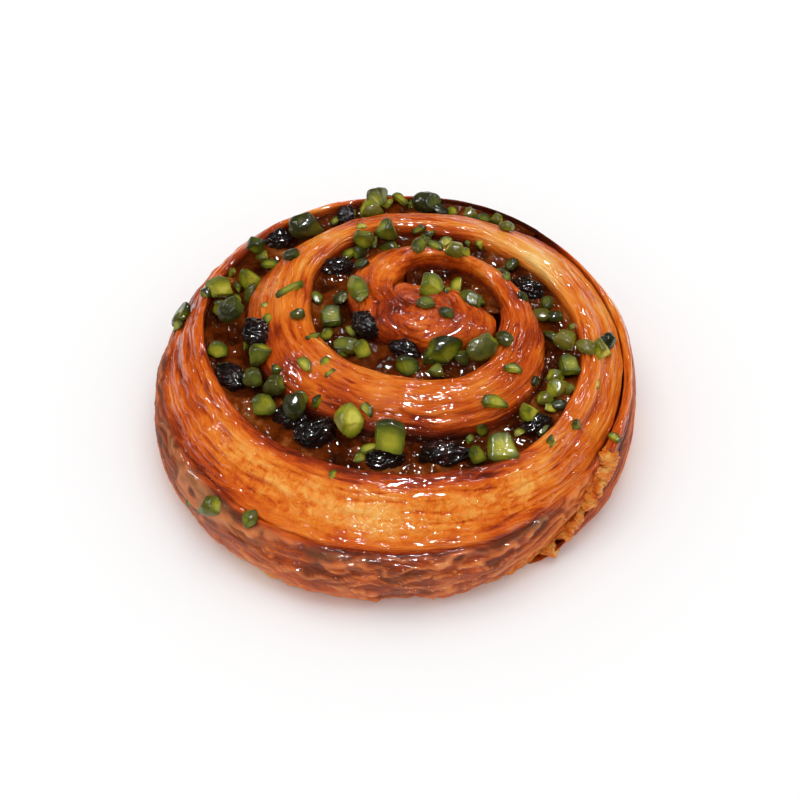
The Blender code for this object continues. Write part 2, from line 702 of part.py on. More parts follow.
def settle(bit, row, placed, trees):
    """Tries places for a bit round its pixel, until it is clear of other toppings and rests in a carrier."""
    px, py, length, heading, _ = row
    for attempt in range(BIT_TRIES):
        reach, way = BIT_STRAY * math.sqrt(attempt), 2.4 * attempt
        lift = BIT_HEIGHT * length * MM / 2 - BIT_SINK
        place, normal = seen_place(px + reach * math.cos(way), py + reach * math.sin(way), lift)
        bit.matrix_world = standing(place, normal, heading)
        near = tree_of(bit, 1.4 * FIT)
        if any(near.overlap(other) for other in placed):
            continue
        inside = [corners_inside(bit, tree) for tree in trees]
        if max(inside) >= 3:
            return inside.index(max(inside))
    return None


def make_bits(looks, placed, carriers):
    """The small bits, as a list for each carrier to fuse."""
    fused = [[] for _ in carriers]
    trees = [tree_of(carrier) for carrier in carriers]
    for number, row in enumerate(BITS, 1):
        length = row[2] * MM
        mesh = pistachio_mesh(length, BIT_WIDTH * length, BIT_HEIGHT * length, row[4], number, 1)
        bit = mesh_object(f"bit_{number:02d}", mesh, [looks["pistachio_skin"], looks["pistachio_cut"]])
        carrier = settle(bit, row, placed, trees)
        if carrier is None:
            bpy.data.objects.remove(bit)
        else:
            fused[carrier].append(bit)
            placed.append(tree_of(bit))
    return fused


def main():
    for thing in list(bpy.data.objects):
        bpy.data.objects.remove(thing)
    looks = {
        "dough": material("baked_dough", BAKED),
        "custard": material("custard", CUSTARD),
        "raisin": material("raisin", RAISIN),
        "pistachio_skin": material("pistachio_skin", SKIN_GREEN),
        "pistachio_cut": material("pistachio_cut", CUT_GREEN),
    }
    custards = [custard_strip(name, run, [looks["custard"]]) for name, run in CUSTARD_RUNS.items()]
    carriers = [bun_body([looks["dough"]]), *custards]
    raisins, placed = make_toppings(looks, carriers)
    fused = make_bits(looks, placed, carriers)
    for k, carrier in enumerate(carriers):
        others = [bit for n, bits in enumerate(fused) for bit in bits if n != k]
        tree = tree_of(carrier)
        cutters = [grown_copy(thing, FIT) for thing in raisins + others]
        apart = [cutter for cutter in cutters if not tree_of(cutter).overlap(tree)]
        boolean(carrier, "DIFFERENCE", [cutter for cutter in cutters if cutter not in apart])
        for cutter in apart:
            bpy.data.objects.remove(cutter)
    for carrier, bits in zip(carriers, fused):
        boolean(carrier, "UNION", bits)


main()
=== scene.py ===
"""The looks of the pain aux raisins: laminated dough, custard, raisins, pistachios, glaze, light and camera.

The dough is one fine skin on the same spiral as the CAD model. All lengths are in metres, with +Z up.
A direction is in degrees, anticlockwise from +X seen from above. A turn angle is a direction that goes on
growing along the strip, from its outer end in to the core.
"""

import math
import random

import bmesh
import bpy
import numpy as np
from mathutils import Matrix, Vector, noise


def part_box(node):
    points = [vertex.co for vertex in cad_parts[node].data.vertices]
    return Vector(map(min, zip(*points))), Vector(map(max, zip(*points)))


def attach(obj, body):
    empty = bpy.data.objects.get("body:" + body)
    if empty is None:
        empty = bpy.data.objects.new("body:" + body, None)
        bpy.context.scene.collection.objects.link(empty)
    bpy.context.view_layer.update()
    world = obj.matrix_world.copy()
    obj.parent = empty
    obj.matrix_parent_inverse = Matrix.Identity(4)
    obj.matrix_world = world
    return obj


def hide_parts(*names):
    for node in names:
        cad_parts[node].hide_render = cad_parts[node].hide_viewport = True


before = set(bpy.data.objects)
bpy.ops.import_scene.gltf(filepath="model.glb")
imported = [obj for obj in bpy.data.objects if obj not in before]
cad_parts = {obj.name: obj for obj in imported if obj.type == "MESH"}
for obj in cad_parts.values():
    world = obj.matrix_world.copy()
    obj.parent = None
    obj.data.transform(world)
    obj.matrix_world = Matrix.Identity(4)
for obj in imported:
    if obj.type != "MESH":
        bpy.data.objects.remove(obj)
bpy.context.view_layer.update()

MM = 0.001

# The whole bun, as in the CAD model
BUN_RADIUS = 55 * MM
WIDEST_HEIGHT = 7.5 * MM
BASE_INSET = 3.1 * MM
FRONT_INSET = 1.2 * MM
CORE = Vector((4.5 * MM, 5.0 * MM))
DOME_TOP = 29 * MM
DOME_FALL = 9 * MM
DOME_REACH = 45 * MM
DOME_POWER = 1.2
FIT = 0.3 * MM

# The strip's outer end: its turn angle, how far the turn below steps back for it, and how its edge slants
TAIL_TURN = -33.0
TAIL_STEP = 2.2 * MM
TAIL_SLANT = 29.0
SLANT_REACH = 60.0
TAIL_FADE = 75.0

# The seam between two turns: its turn angle, then in millimetres its distance from the core, half the width
# of the custard in it, how far it lies above the custard's dome, and how far the dough rises beside it
SEAM = (
    (-33, 48.6, 0.2, -3.6, 0.5), (0, 46.9, 0.2, -1.2, 0.9), (27, 45.6, 0.2, -0.2, 1.2),
    (48, 44.9, 0.6, 0.0, 2.4), (66, 44.0, 1.8, 0.0, 2.8), (100, 43.3, 2.6, 0.0, 3.2),
    (142, 45.2, 3.6, 0.0, 3.8), (164, 45.2, 4.1, 0.0, 4.0), (187, 42.2, 4.6, 0.0, 4.2),
    (217, 38.2, 4.8, 0.0, 4.4), (245, 35.2, 4.9, 0.0, 4.6), (282, 34.4, 4.7, 0.0, 4.8),
    (305, 35.2, 4.2, 0.0, 4.6), (328, 34.7, 3.6, 0.0, 4.4), (355, 33.2, 3.6, 0.0, 4.4),
    (383, 30.8, 3.3, 0.0, 4.6), (408, 29.3, 2.9, 0.0, 4.8), (440, 28.4, 2.6, 0.0, 4.8),
    (472, 28.8, 3.0, 0.0, 4.8), (500, 25.2, 3.9, 0.0, 5.0), (518, 21.2, 4.4, 0.0, 5.2),
    (539, 17.8, 4.9, 0.0, 5.2), (560, 15.4, 4.9, 0.0, 5.2), (583, 13.0, 4.6, 0.0, 5.2),
    (611, 11.6, 4.3, 0.0, 5.2), (643, 12.9, 4.2, 0.0, 5.0), (666, 14.4, 3.6, 0.0, 4.6),
    (688, 16.2, 2.4, 0.2, 3.8), (706, 17.6, 0.4, 2.2, 1.8), (722, 18.4, 0.4, 2.2, 1.8),
    (740, 18.2, 1.6, 0.0, 3.8), (765, 17.8, 3.1, -1.0, 5.4), (790, 17.0, 3.7, -1.4, 5.8),
    (812, 15.2, 3.0, -0.8, 5.0), (829, 12.6, 0.6, 2.0, 2.6), (850, 8.0, 0.2, 4.6, 0.6),
    (879, 0.0, 0.2, 5.2, 0.4),
)
SEAM_END = SEAM[-1][0]

# Where custard parts the seam, by turn angle, how narrow it gets at the base, and the gap of a shut seam
CUSTARD_RUNS = {"custard_outer": (51, 699), "custard_inner": (735, 819)}
CUSTARD_ROOT = 1.1 * MM
ROOT_SHARE = 0.8
SHUT_GAP = 0.06 * MM

# How far the outline lies outside a circle, in millimetres, by its direction from the core
TRIM = (
    (-90, -1.4), (-70, -0.9), (-50, -1.3), (-36, -0.5), (-20, -0.4), (0, 0.0), (12, 0.5), (27, 0.0),
    (40, -0.2), (60, -0.2), (90, 0.0), (108, 0.0), (122, 0.3), (135, 1.3), (150, 1.0), (168, 0.4),
    (195, 0.8), (208, 0.7), (220, 0.2), (232, -0.3), (250, -0.9), (270, -1.4),
)

# The shoulder, where the top of the outer turn rolls over into the side: its direction, then in millimetres
# its height, how far it lies inside the outline, and how far the dough rises beside it
SHOULDER = (
    (-33, 16.0, 1.2, 2.0), (0, 17.5, 1.2, 1.8), (27, 18.4, 1.2, 1.2), (48, 18.0, 1.3, 0.8),
    (90, 17.4, 1.5, 0.4), (135, 17.2, 2.6, 1.4), (180, 15.5, 3.6, 2.0), (225, 14.6, 5.0, 2.0),
    (270, 14.6, 4.8, 2.0), (290, 15.0, 3.2, 2.0), (305, 15.3, 2.4, 2.0), (327, 15.5, 2.5, 2.0),
)

# The camera of the photograph
VIEW_ELEVATION = math.radians(50)
VIEW_DISTANCE = 550 * MM
VIEW_AIM = Vector((0, 0, 12 * MM))
AIM_PIXEL = (397, 387)
PIXELS_PER_METRE = 4360
IMAGE_SIZE = 800
SENSOR = 36.0
FORWARD = Vector((0, math.cos(VIEW_ELEVATION), -math.sin(VIEW_ELEVATION)))
EYE = VIEW_AIM - FORWARD * VIEW_DISTANCE

# How the bun is found behind a pixel: how far before and behind the aim, in how many steps, how much a
# missing pixel moves inwards, and the reach over which the slope is taken
PROBE = 80 * MM
PROBE_STEPS = 1601
INWARD = 0.01
SLOPE_REACH = 1.2 * MM

# Raisins: the pixel where each one lies, its length, width and height in millimetres, and its heading
RAISINS = (
    (279, 240, 6.5, 5.0, 4.6, 20),
    (346, 215, 5.2, 4.6, 4.2, 60),
    (338, 267, 8.0, 5.2, 4.8, 15),
    (256, 332, 8.6, 6.4, 5.2, -60),
    (229, 377, 8.8, 6.0, 4.8, -50),
    (289, 417, 7.8, 5.8, 5.2, -30),
    (316, 435, 9.2, 7.6, 6.2, 30),
    (384, 459, 8.4, 5.6, 4.6, 10),
    (446, 454, 10.6, 6.4, 5.4, 0),
    (537, 425, 7.0, 4.8, 4.6, 20),
    (528, 288, 7.6, 5.2, 4.6, -30),
    (366, 325, 7.6, 5.4, 5.0, -40),
    (404, 349, 7.6, 4.8, 4.8, -20),
)
RAISIN_LUMPS = 0.16
RAISIN_FOLDS = 0.24

# Pistachio pieces as large as berries: the pixel, length, width, height, heading, and how the kernel was cut
PISTACHIOS = (
    (427, 200, 8.0, 5.6, 5.0, -25, "half"),
    (372, 209, 7.2, 5.0, 4.6, 10, "chunk"),
    (308, 227, 9.6, 7.4, 6.4, 25, "end"),
    (256, 248, 5.4, 4.2, 5.0, 80, "chunk"),
    (251, 277, 6.6, 6.0, 5.4, 60, "wedge"),
    (217, 289, 8.0, 5.6, 5.0, 5, "block"),
    (222, 310, 6.0, 5.0, 4.6, -30, "wedge"),
    (243, 317, 7.2, 6.2, 5.2, 20, "half"),
    (217, 350, 5.6, 4.6, 4.0, -35, "wedge"),
    (259, 353, 7.4, 5.0, 4.6, 20, "chunk"),
    (253, 378, 5.2, 5.0, 5.0, 0, "half"),
    (274, 386, 6.0, 5.0, 4.4, 15, "half"),
    (264, 408, 7.2, 5.6, 5.0, 20, "wedge"),
    (297, 409, 6.6, 5.4, 5.2, 70, "half"),
    (352, 420, 8.6, 7.6, 7.0, 60, "wedge"),
    (397, 432, 9.8, 8.8, 7.0, -20, "block"),
    (503, 449, 9.0, 8.0, 5.6, 0, "block"),
    (478, 457, 5.2, 4.6, 4.8, 40, "wedge"),
    (530, 416, 6.2, 4.8, 4.8, 70, "wedge"),
    (557, 387, 6.6, 4.4, 3.8, 50, "chunk"),
    (570, 366, 6.2, 6.0, 4.8, 0, "block"),
    (565, 340, 7.2, 4.8, 4.4, -30, "chunk"),
    (603, 350, 7.2, 6.0, 3.8, 45, "wedge"),
    (361, 237, 5.6, 5.0, 5.4, 80, "chunk"),
    (388, 237, 6.6, 5.2, 4.8, -10, "chunk"),
    (455, 248, 6.2, 4.2, 4.0, -15, "chunk"),
    (357, 288, 9.4, 4.6, 4.2, -65, "half"),
    (331, 315, 6.8, 6.2, 4.8, 0, "block"),
    (348, 345, 7.2, 4.4, 4.0, -10, "half"),
    (364, 353, 6.2, 5.0, 4.4, 40, "wedge"),
    (407, 365, 6.6, 5.2, 4.0, -25, "wedge"),
    (443, 350, 10.4, 7.4, 5.0, 5, "wedge"),
    (481, 346, 8.4, 6.4, 3.4, 35, "half"),
    (432, 283, 7.8, 6.6, 5.6, 20, "wedge"),
    (471, 297, 6.2, 4.2, 4.0, -35, "half"),
    (289, 288, 7.6, 3.8, 3.0, 30, "sliver"),
    (210, 506, 8.0, 4.6, 3.8, -5, "chunk"),
)

# Small pistachio bits: the pixel, length in millimetres, heading and cut
BITS = (
    (400, 199, 4.6, -40, "sliver"), (379, 191, 3.8, 80, "wedge"), (470, 214, 5.0, 10, "chunk"),
    (497, 219, 4.2, -30, "chunk"), (507, 227, 4.6, -50, "half"), (452, 211, 3.6, 0, "wedge"),
    (336, 221, 3.4, 50, "sliver"), (292, 255, 4.6, 0, "half"), (270, 265, 4.8, -20, "sliver"),
    (233, 272, 3.4, 60, "wedge"), (265, 306, 2.8, 0, "wedge"), (298, 314, 4.0, 10, "half"),
    (246, 345, 3.4, 60, "sliver"), (276, 369, 3.4, 10, "chunk"), (304, 365, 4.4, -60, "sliver"),
    (325, 362, 3.6, 20, "wedge"), (330, 373, 2.8, 30, "sliver"), (333, 475, 3.0, 20, "wedge"),
    (370, 449, 4.8, 30, "sliver"), (495, 403, 6.2, -15, "sliver"), (481, 430, 4.2, -50, "wedge"),
    (513, 369, 4.4, -10, "sliver"), (535, 381, 3.0, 60, "half"), (545, 398, 4.8, 10, "chunk"),
    (569, 389, 3.8, 0, "half"), (553, 441, 3.8, 60, "wedge"), (577, 425, 3.8, 30, "wedge"),
    (597, 384, 3.0, 80, "sliver"), (614, 438, 3.6, -50, "sliver"), (547, 303, 4.2, 80, "half"),
    (555, 317, 4.4, 0, "half"), (572, 327, 2.6, 30, "wedge"), (508, 276, 4.0, 70, "wedge"),
    (512, 264, 4.0, 50, "half"), (425, 240, 4.4, 80, "half"), (480, 244, 3.4, 70, "wedge"),
    (468, 243, 2.8, 60, "wedge"), (350, 254, 4.4, 50, "sliver"), (362, 264, 4.0, 10, "half"),
    (317, 298, 3.8, -50, "half"), (327, 334, 4.2, 10, "wedge"), (350, 331, 3.8, -60, "sliver"),
    (437, 370, 5.0, -20, "chunk"), (505, 339, 5.0, -50, "half"), (458, 286, 5.2, 80, "sliver"),
    (448, 290, 3.0, 60, "sliver"), (426, 303, 4.6, 10, "half"), (447, 313, 4.0, -20, "half"),
    (191, 503, 3.2, 20, "sliver"), (250, 518, 5.0, 80, "half"), (174, 316, 4.6, 10, "half"),
)

# Still smaller crumbs of pistachio, in the looks alone
CRUMBS = (
    (351, 217, 3.4, 60, "sliver"), (362, 226, 3.0, 0, "wedge"), (359, 252, 4.0, 60, "chunk"),
    (375, 241, 3.4, 80, "sliver"), (390, 247, 4.0, 0, "half"), (250, 293, 4.6, 40, "half"),
    (239, 287, 3.4, 70, "wedge"), (206, 291, 3.6, 80, "chunk"), (313, 336, 3.0, 0, "sliver"),
    (341, 298, 4.8, -50, "half"), (342, 354, 3.6, 30, "wedge"), (413, 204, 3.0, 40, "wedge"),
    (441, 211, 4.6, -5, "half"), (484, 219, 3.2, -20, "sliver"), (419, 230, 2.8, 20, "sliver"),
    (428, 234, 3.6, 30, "chunk"), (419, 245, 4.2, 80, "half"), (435, 246, 3.4, -40, "sliver"),
    (446, 243, 3.6, 40, "sliver"), (466, 252, 3.6, 0, "wedge"), (502, 271, 3.0, 0, "chunk"),
    (523, 297, 2.8, 0, "half"), (541, 315, 4.4, -5, "half"), (555, 338, 4.6, -30, "half"),
    (607, 341, 4.8, 30, "half"), (587, 347, 4.4, -30, "half"), (556, 377, 4.4, -20, "chunk"),
    (551, 408, 3.6, 20, "wedge"), (560, 405, 3.2, 0, "half"), (476, 299, 4.8, -60, "sliver"),
    (463, 357, 4.6, -20, "chunk"), (430, 358, 4.4, 0, "chunk"), (228, 283, 3.2, 20, "wedge"),
    (262, 255, 3.6, -20, "chunk"), (236, 300, 3.8, 40, "wedge"), (268, 318, 3.2, 60, "wedge"),
    (300, 398, 4.2, 0, "chunk"), (366, 410, 3.6, -50, "sliver"), (318, 402, 3.4, 30, "wedge"),
    (330, 424, 3.6, 60, "sliver"), (360, 457, 3.6, 20, "wedge"), (472, 440, 3.2, 40, "wedge"),
    (520, 432, 3.2, 0, "wedge"), (542, 430, 3.4, 40, "chunk"), (377, 190, 6.4, 80, "chunk"),
    (386, 203, 4.4, 30, "wedge"), (172, 312, 6.6, -10, "sliver"), (172, 324, 4.6, -60, "wedge"),
)

# A bit's width and height in shares of its length, and how deep it lies in the dough
BIT_WIDTH = 0.72
BIT_HEIGHT = 0.62
BIT_SINK = 0.7 * MM

# How crumbs are made longer, wider and higher, and how far they tilt at most, in radians
CRUMB_SIZE = (1.25, 1.2, 0.95)
CRUMB_TILT = ((0.7, "X"), (0.5, "Y"))

# How far all toppings turn from the slope towards upright, and how deep the large pieces of pistachio settle
UPRIGHT = 0.35
SETTLE = 0.5 * MM

# How a kernel is cut, as planes in shares of its half length, width and height: a point, then the way cut off
CUTS = {
    "half": (((0, 0, -0.2), (0, 0, -1)), ((0.85, 0, 0), (1, 0.2, 0.2))),
    "end": (((0.5, 0, 0), (1, 0.1, 0.3)), ((0, 0, -0.5), (0, 0, -1))),
    "chunk": (((0.62, 0, 0), (1, 0.3, 0.3)), ((-0.66, 0, 0), (-1, 0.2, 0.3)), ((0, 0, -0.5), (0, 0, -1))),
    "block": (
        ((0.68, 0, 0), (1, 0.15, 0.1)),
        ((-0.68, 0, 0), (-1, -0.15, 0.1)),
        ((0, 0, 0.4), (0.1, -0.25, 1)),
        ((0, -0.7, 0), (0.1, -1, 0.1)),
        ((0, 0, -0.6), (0, 0, -1)),
    ),
    "wedge": (
        ((0.15, 0, 0.3), (0.8, -0.35, 0.6)),
        ((-0.7, 0, 0), (-1, 0.3, 0.1)),
        ((0, -0.35, 0.2), (-0.2, -1, 0.4)),
        ((0, 0, -0.6), (0, 0, -1)),
    ),
    "sliver": (((0, 0, 0.35), (0.05, 0.15, 1)), ((0, 0, -0.35), (0, 0, -1)), ((0, -0.4, 0), (0.15, -1, 0.2))),
}

# How much a cut varies, how sharp its edges are, how hollow its face is, and the least direction that it cuts
CUT_JITTER = 0.18
CUT_SHARPNESS = 70
CUT_HOLLOW = 0.14
CUT_LEAST = 0.02

# The shallow cuts that every kernel has besides, and the least and most of their distance from its middle
SHALLOW_CUTS = 4
SHALLOW_DEPTH = (0.74, 0.86)

# How dark the dough is baked along the strip, by turn angle
BAKED = (
    (-33, 0.46), (0, 0.40), (30, 0.46), (60, 0.54), (90, 0.52), (140, 0.50), (165, 0.60), (190, 0.50),
    (215, 0.44), (270, 0.43), (300, 0.42), (330, 0.37), (355, 0.38), (383, 0.34), (415, 0.30), (440, 0.42),
    (485, 0.46), (520, 0.44), (560, 0.38), (600, 0.42), (630, 0.43), (670, 0.47), (720, 0.58), (765, 0.42),
    (800, 0.50), (879, 0.50),
)

# How much darker the glaze makes it, how dark the seams' walls are, and how streaks change from turn to turn
GLAZE_TINT = 0.035
WALL_BROWN = 0.7
LAP_CHANGE = 5

# Darker and paler patches of the crust: the pixel, the radius in millimetres, and how much darker
PATCHES = (
    (392, 308, 5.0, 0.26), (440, 298, 5.0, 0.14), (462, 320, 4.0, 0.14), (535, 236, 7.0, 0.30),
    (475, 210, 7.0, 0.26), (490, 252, 5.0, -0.14), (530, 272, 6.0, -0.20), (562, 302, 5.0, -0.12),
    (320, 210, 8.0, -0.18), (325, 256, 5.0, -0.12), (618, 316, 6.0, -0.18), (622, 360, 5.0, -0.10),
    (395, 265, 5.0, -0.08), (208, 326, 5.0, -0.10), (270, 335, 4.0, 0.25), (290, 365, 5.0, 0.32),
    (340, 398, 4.0, 0.14), (540, 522, 3.0, 0.30), (505, 538, 4.0, 0.08), (182, 410, 5.0, 0.12),
    (190, 478, 6.0, 0.24), (212, 506, 6.0, 0.30), (172, 445, 6.0, 0.16), (600, 400, 6.0, 0.08),
    (545, 360, 4.0, -0.15), (280, 550, 7.0, -0.08), (500, 502, 6.0, 0.18), (432, 506, 5.0, 0.12),
    (340, 528, 6.0, 0.08), (440, 563, 6.0, 0.10), (360, 563, 6.0, 0.06), (252, 528, 5.0, 0.12),
    (632, 410, 5.0, 0.06), (610, 462, 6.0, 0.20), (575, 440, 6.0, 0.08), (455, 400, 5.0, 0.06),
)

# The turn angles over which each begins and ends: the front, and the caramel and the scorched part of the
# second ring. The core only begins.
FRONT = ((195, 235), (298, 312))
CARAMEL = ((505, 545), (625, 665))
SCORCHED = ((395, 410), (432, 452))
CORE_BEGINS = (735, 765)

# The length and width of each pattern's features on the crust, in millimetres
LUMPS = 9
BROAD = (26, 2.4)
LAMINA = (12, 1.0)
THREAD = (5, 0.5)
CLEFT = (24, 1.7)
FOLD = (15, 3.4)
WRINKLE = (8, 2.4)
FLAKE = (3.2, 1.2)

# The relief of each pattern in millimetres
LUMP_RELIEF = 0.30
BROAD_RELIEF = 0.32
FINE_RELIEF = {"lamina": 0.17, "thread": 0.03, "cleft": -0.34}
SIDE_RELIEF = {"fold": 0.55, "wrinkle": 0.26, "swell": 0.8, "skin": 0.1}
HOLLOW_RELIEF = -0.55
ROLL_RELIEF = 0.35
CREASE_RELIEF = -0.6
FLAKE_RELIEF = 0.5

# How much darker each pattern makes the crust
BROWNING = {
    "lumps": 0.06,
    "broad": -0.08,
    "lamina": -0.07,
    "thread": -0.03,
    # cleft: the sunk clefts are darker, painted shade in them as well as darker lines of dough
    "cleft": 0.20,
    # by custard and by outer custard: darker beside the seams, caramel beside the custard and painted shade
    # on the slopes down into the seams
    "by custard": 0.30,
    "by outer custard": 0.36,
    "caramel": 0.34,
    "pale": -0.19,
    "scorched": 0.45,
    "inner lip": 0.28,
    # crease: darker along the sunk crease on the front side, the outer sheet's dark edge and painted shade in
    # the crease
    "crease": 0.24,
    "below": 0.10,
    "side": 0.25,
    # fold, wrinkle, swell and skin: the side is paler on its raised folds and darker in its hollows, thin
    # dough and painted light and shade together
    "fold": -0.22,
    "wrinkle": -0.12,
    "swell": -0.15,
    "skin": 0.10,
    "flaky": -0.26,
    "front rim": 0.10,
    "right rim": 0.26,
}

# How finely the dough is made: stations in each turn from the outer one in, rows round its section, and the
# share of the side's rows above its widest height
STATIONS_BY_LAP = (410, 280, 140, 60)
WALL_ROWS = 5
RIDGE_ROWS = 62
SIDE_ROWS = 40
BASE_ROWS = 5
UPPER_SHARE = 0.68

# The crumbly edge of the strip's outer end: how many lumps, how far down the side they go, and the least and
# most of how deep they lie and of their three half sizes, in millimetres
END_CRUMBS = 150
END_REACH = 0.84
END_DEPTH = (0.4, 2.2)
END_LUMP = ((0.6, 1.9), (0.7, 1.4), (0.4, 1.0))

# The custard's skin: its step and its distance from the core, its rows, its lap over the dough, and in
# millimetres the size and relief of its lumps and how deep they lie
CUSTARD_STEP = 0.5 * MM
CUSTARD_RADIUS = 25 * MM
CUSTARD_ROWS = 22
CUSTARD_LAP = 0.1 * MM
CUSTARD_LUMPS = 3.2
CUSTARD_RELIEF = 0.9
CUSTARD_SINK = 0.15

# Colours from 0 to 255 at their places in a ramp: the crust gets darker, and the others get paler
CRUST_COLOURS = (
    (0.0, (252, 208, 132)),
    (0.2, (244, 170, 80)),
    (0.4, (232, 124, 32)),
    (0.56, (206, 84, 10)),
    (0.72, (152, 48, 5)),
    (0.86, (108, 32, 6)),
    (1.0, (72, 22, 6)),
)
CUSTARD_COLOURS = (
    (0.25, (14, 4, 2)),
    (0.45, (40, 11, 3)),
    (0.6, (64, 21, 3)),
    (0.78, (112, 46, 8)),
    (0.95, (170, 100, 44)),
)
SKIN_COLOURS = (
    (0.2, (22, 25, 5)),
    (0.42, (50, 52, 9)),
    (0.6, (82, 80, 14)),
    (0.8, (118, 108, 28)),
    (1.0, (142, 124, 54)),
)
KERNEL_COLOURS = (
    (0.15, (40, 50, 6)),
    (0.4, (74, 82, 10)),
    (0.62, (116, 120, 18)),
    (0.85, (168, 162, 38)),
    (1.0, (206, 198, 78)),
)
RAISIN_COLOURS = (
    (0.3, (10, 4, 4)),
    (0.6, (26, 9, 7)),
    (0.85, (74, 24, 12)),
)

# The floor and the sky, then the lights: place, size, power, and whether only reflections show them
FLOOR_HALF = 3.0
SKY_STRENGTH = 0.84
LIGHTS = (
    ("key", (-0.03, 0.12, 0.8), 0.75, 2.45, False),
    ("glint_above", (0.03, -0.06, 0.7), 0.065, 6.0, True),
    ("glint_front", (-0.14, -0.32, 0.62), 0.05, 0.5, True),
    ("glint_back", (0.12, 0.44, 0.55), 0.05, 0.6, True),
    ("glint_left", (-0.5, 0.1, 0.45), 0.06, 0.7, True),
    ("glint_right", (0.46, 0.2, 0.5), 0.06, 0.4, True),
)


def smooth(table, x, column=1):
    """The value at x of a smooth curve through one column of a table that is sorted by its first column."""
    knots = np.array([row[0] for row in table], float)
    values = np.array([row[column] for row in table], float)
    slopes = np.gradient(values, knots)
    x = np.clip(x, knots[0], knots[-1])
    i = np.clip(np.searchsorted(knots, x, side="right") - 1, 0, len(knots) - 2)
    span = knots[i + 1] - knots[i]
    t = (x - knots[i]) / span
    start = (1 + 2 * t) * (1 - t) ** 2 * values[i] + t * (1 - t) ** 2 * span * slopes[i]
    end = t * t * (3 - 2 * t) * values[i + 1] - t * t * (1 - t) * span * slopes[i + 1]
    return start + end


def ease(t):
    """From 0 to 1, with soft ends, as t goes from 0 to 1."""
    t = np.clip(t, 0, 1)
    return t * t * (3 - 2 * t)


def between(x, rise, fall):
    """1 between two ranges, easing in over the first and out over the second."""
    return ease((x - rise[0]) / (rise[1] - rise[0])) * ease((fall[1] - x) / (fall[1] - fall[0]))


def bell(x, middle, width):
    """1 in the middle, and nearly 0 from two widths away."""
    return np.exp(-(((x - middle) / width) ** 2))


def custard_dome(r):
    """The height of the custard's dome at a distance r from the core."""
    return DOME_TOP - DOME_FALL * (r / DOME_REACH) ** DOME_POWER


def outline(turn):
    """The distance from the core to the bun's outline in the direction of a turn angle."""
    x, y = np.cos(np.radians(turn)), np.sin(np.radians(turn))
    along = CORE.x * x + CORE.y * y
    across = CORE.x * y - CORE.y * x
    trim = smooth(TRIM, (turn + 90) % 360 - 90) * MM
    return np.sqrt(BUN_RADIUS**2 - across**2) - along + trim


def base_inset(turn):
    """How far the base lies inside the outline: more at the front than at the back."""
    return BASE_INSET - FRONT_INSET * np.sin(np.radians(turn))


def tail_step(turn):
    """How far the outer turn lies below the strip's outer end, which covers it from the seam on."""
    return TAIL_STEP * ease((turn - (TAIL_TURN + 360 - TAIL_FADE)) / TAIL_FADE)


def seam(turn):
    """(radius, half width, level, rise of the dough beside it) of the seam at a turn angle."""
    r = np.where(turn < SEAM_END, smooth(SEAM, turn, 1), 0) * MM
    half = np.maximum(smooth(SEAM, turn, 2), 0.15) * MM
    level = custard_dome(r) + smooth(SEAM, turn, 3) * MM
    return r, np.minimum(half, r), level, np.maximum(smooth(SEAM, turn, 4), 0) * MM


def shoulder(turn):
    """The same four values where the outer turn ends in the side."""
    r = outline(turn) - tail_step(turn) - smooth(SHOULDER, turn, 2) * MM
    return r, 0 * r, smooth(SHOULDER, turn, 1) * MM, smooth(SHOULDER, turn, 3) * MM


def ridge(turn, w):
    """(distance from the core, height) of the dough between two seams, for w from 0 inside to 1 outside."""
    r_in, half_in, level_in, rise_in = seam(turn)
    outer = turn < TAIL_TURN + 360
    r_out, half_out, level_out, rise_out = np.where(outer, shoulder(turn), seam(turn - 360))
    v = (1 - np.cos(np.pi * w)) / 2
    r = (r_in + half_in) * (1 - v) + (r_out - half_out) * v
    steepness = 0.9 + np.where(outer, 0.8, 0) * v
    bump = np.maximum(np.sin(np.pi * w), 0) ** steepness
    return r, level_in * (1 - v) + level_out * v + (rise_in * (1 - v) + rise_out * v) * bump


def surface(x, y):
    """The height of the bun's top over a point seen from above, and 0 outside it."""
    dx, dy = x - CORE.x, y - CORE.y
    r, angle = np.hypot(dx, dy), np.degrees(np.arctan2(dy, dx))
    first = (angle - TAIL_TURN) % 360 + TAIL_TURN
    height = np.zeros_like(r)
    for lap in range(4):
        turn = first + 360 * lap
        r_in, half_in = seam(turn)[:2]
        r_out, half_out = seam(turn - 360)[:2] if lap else shoulder(turn)[:2]
        width = np.maximum(r_out - half_out - r_in - half_in, 1e-6)
        v = np.clip((r - r_in - half_in) / width, 0, 1)
        here = (r >= r_in) & (r < r_out)
        height = np.where(here, ridge(turn, np.arccos(1 - 2 * v) / np.pi)[1], height)
    r_top, _, z_top, _ = shoulder(first)
    edge = outline(first) - tail_step(first)
    reach = np.clip((r - r_top) / (edge - r_top), 0, 1)
    side = WIDEST_HEIGHT + (z_top - WIDEST_HEIGHT) * np.sqrt(1 - reach**2)
    return np.where(r >= r_top, np.where(r < edge, side, 0), height)


def is_open(turn):
    """Whether custard parts the seam at a turn angle."""
    return np.any([(start <= turn) & (turn <= end) for start, end in CUSTARD_RUNS.values()], axis=0)


def dice(ix, iy, iz, seed):
    """A repeatable random number from 0 to 1 for each corner of a lattice."""
    n = ix * 374761393 + iy * 668265263 + iz * 1440662683 + seed * 974634777
    n = (n ^ (n >> 13)) * 1274126177 & 0xFFFFFFFF
    n = (n ^ (n >> 15)) * 2246822519 & 0xFFFFFFFF
    return ((n ^ (n >> 16)) & 0xFFFFFF) / 0xFFFFFF


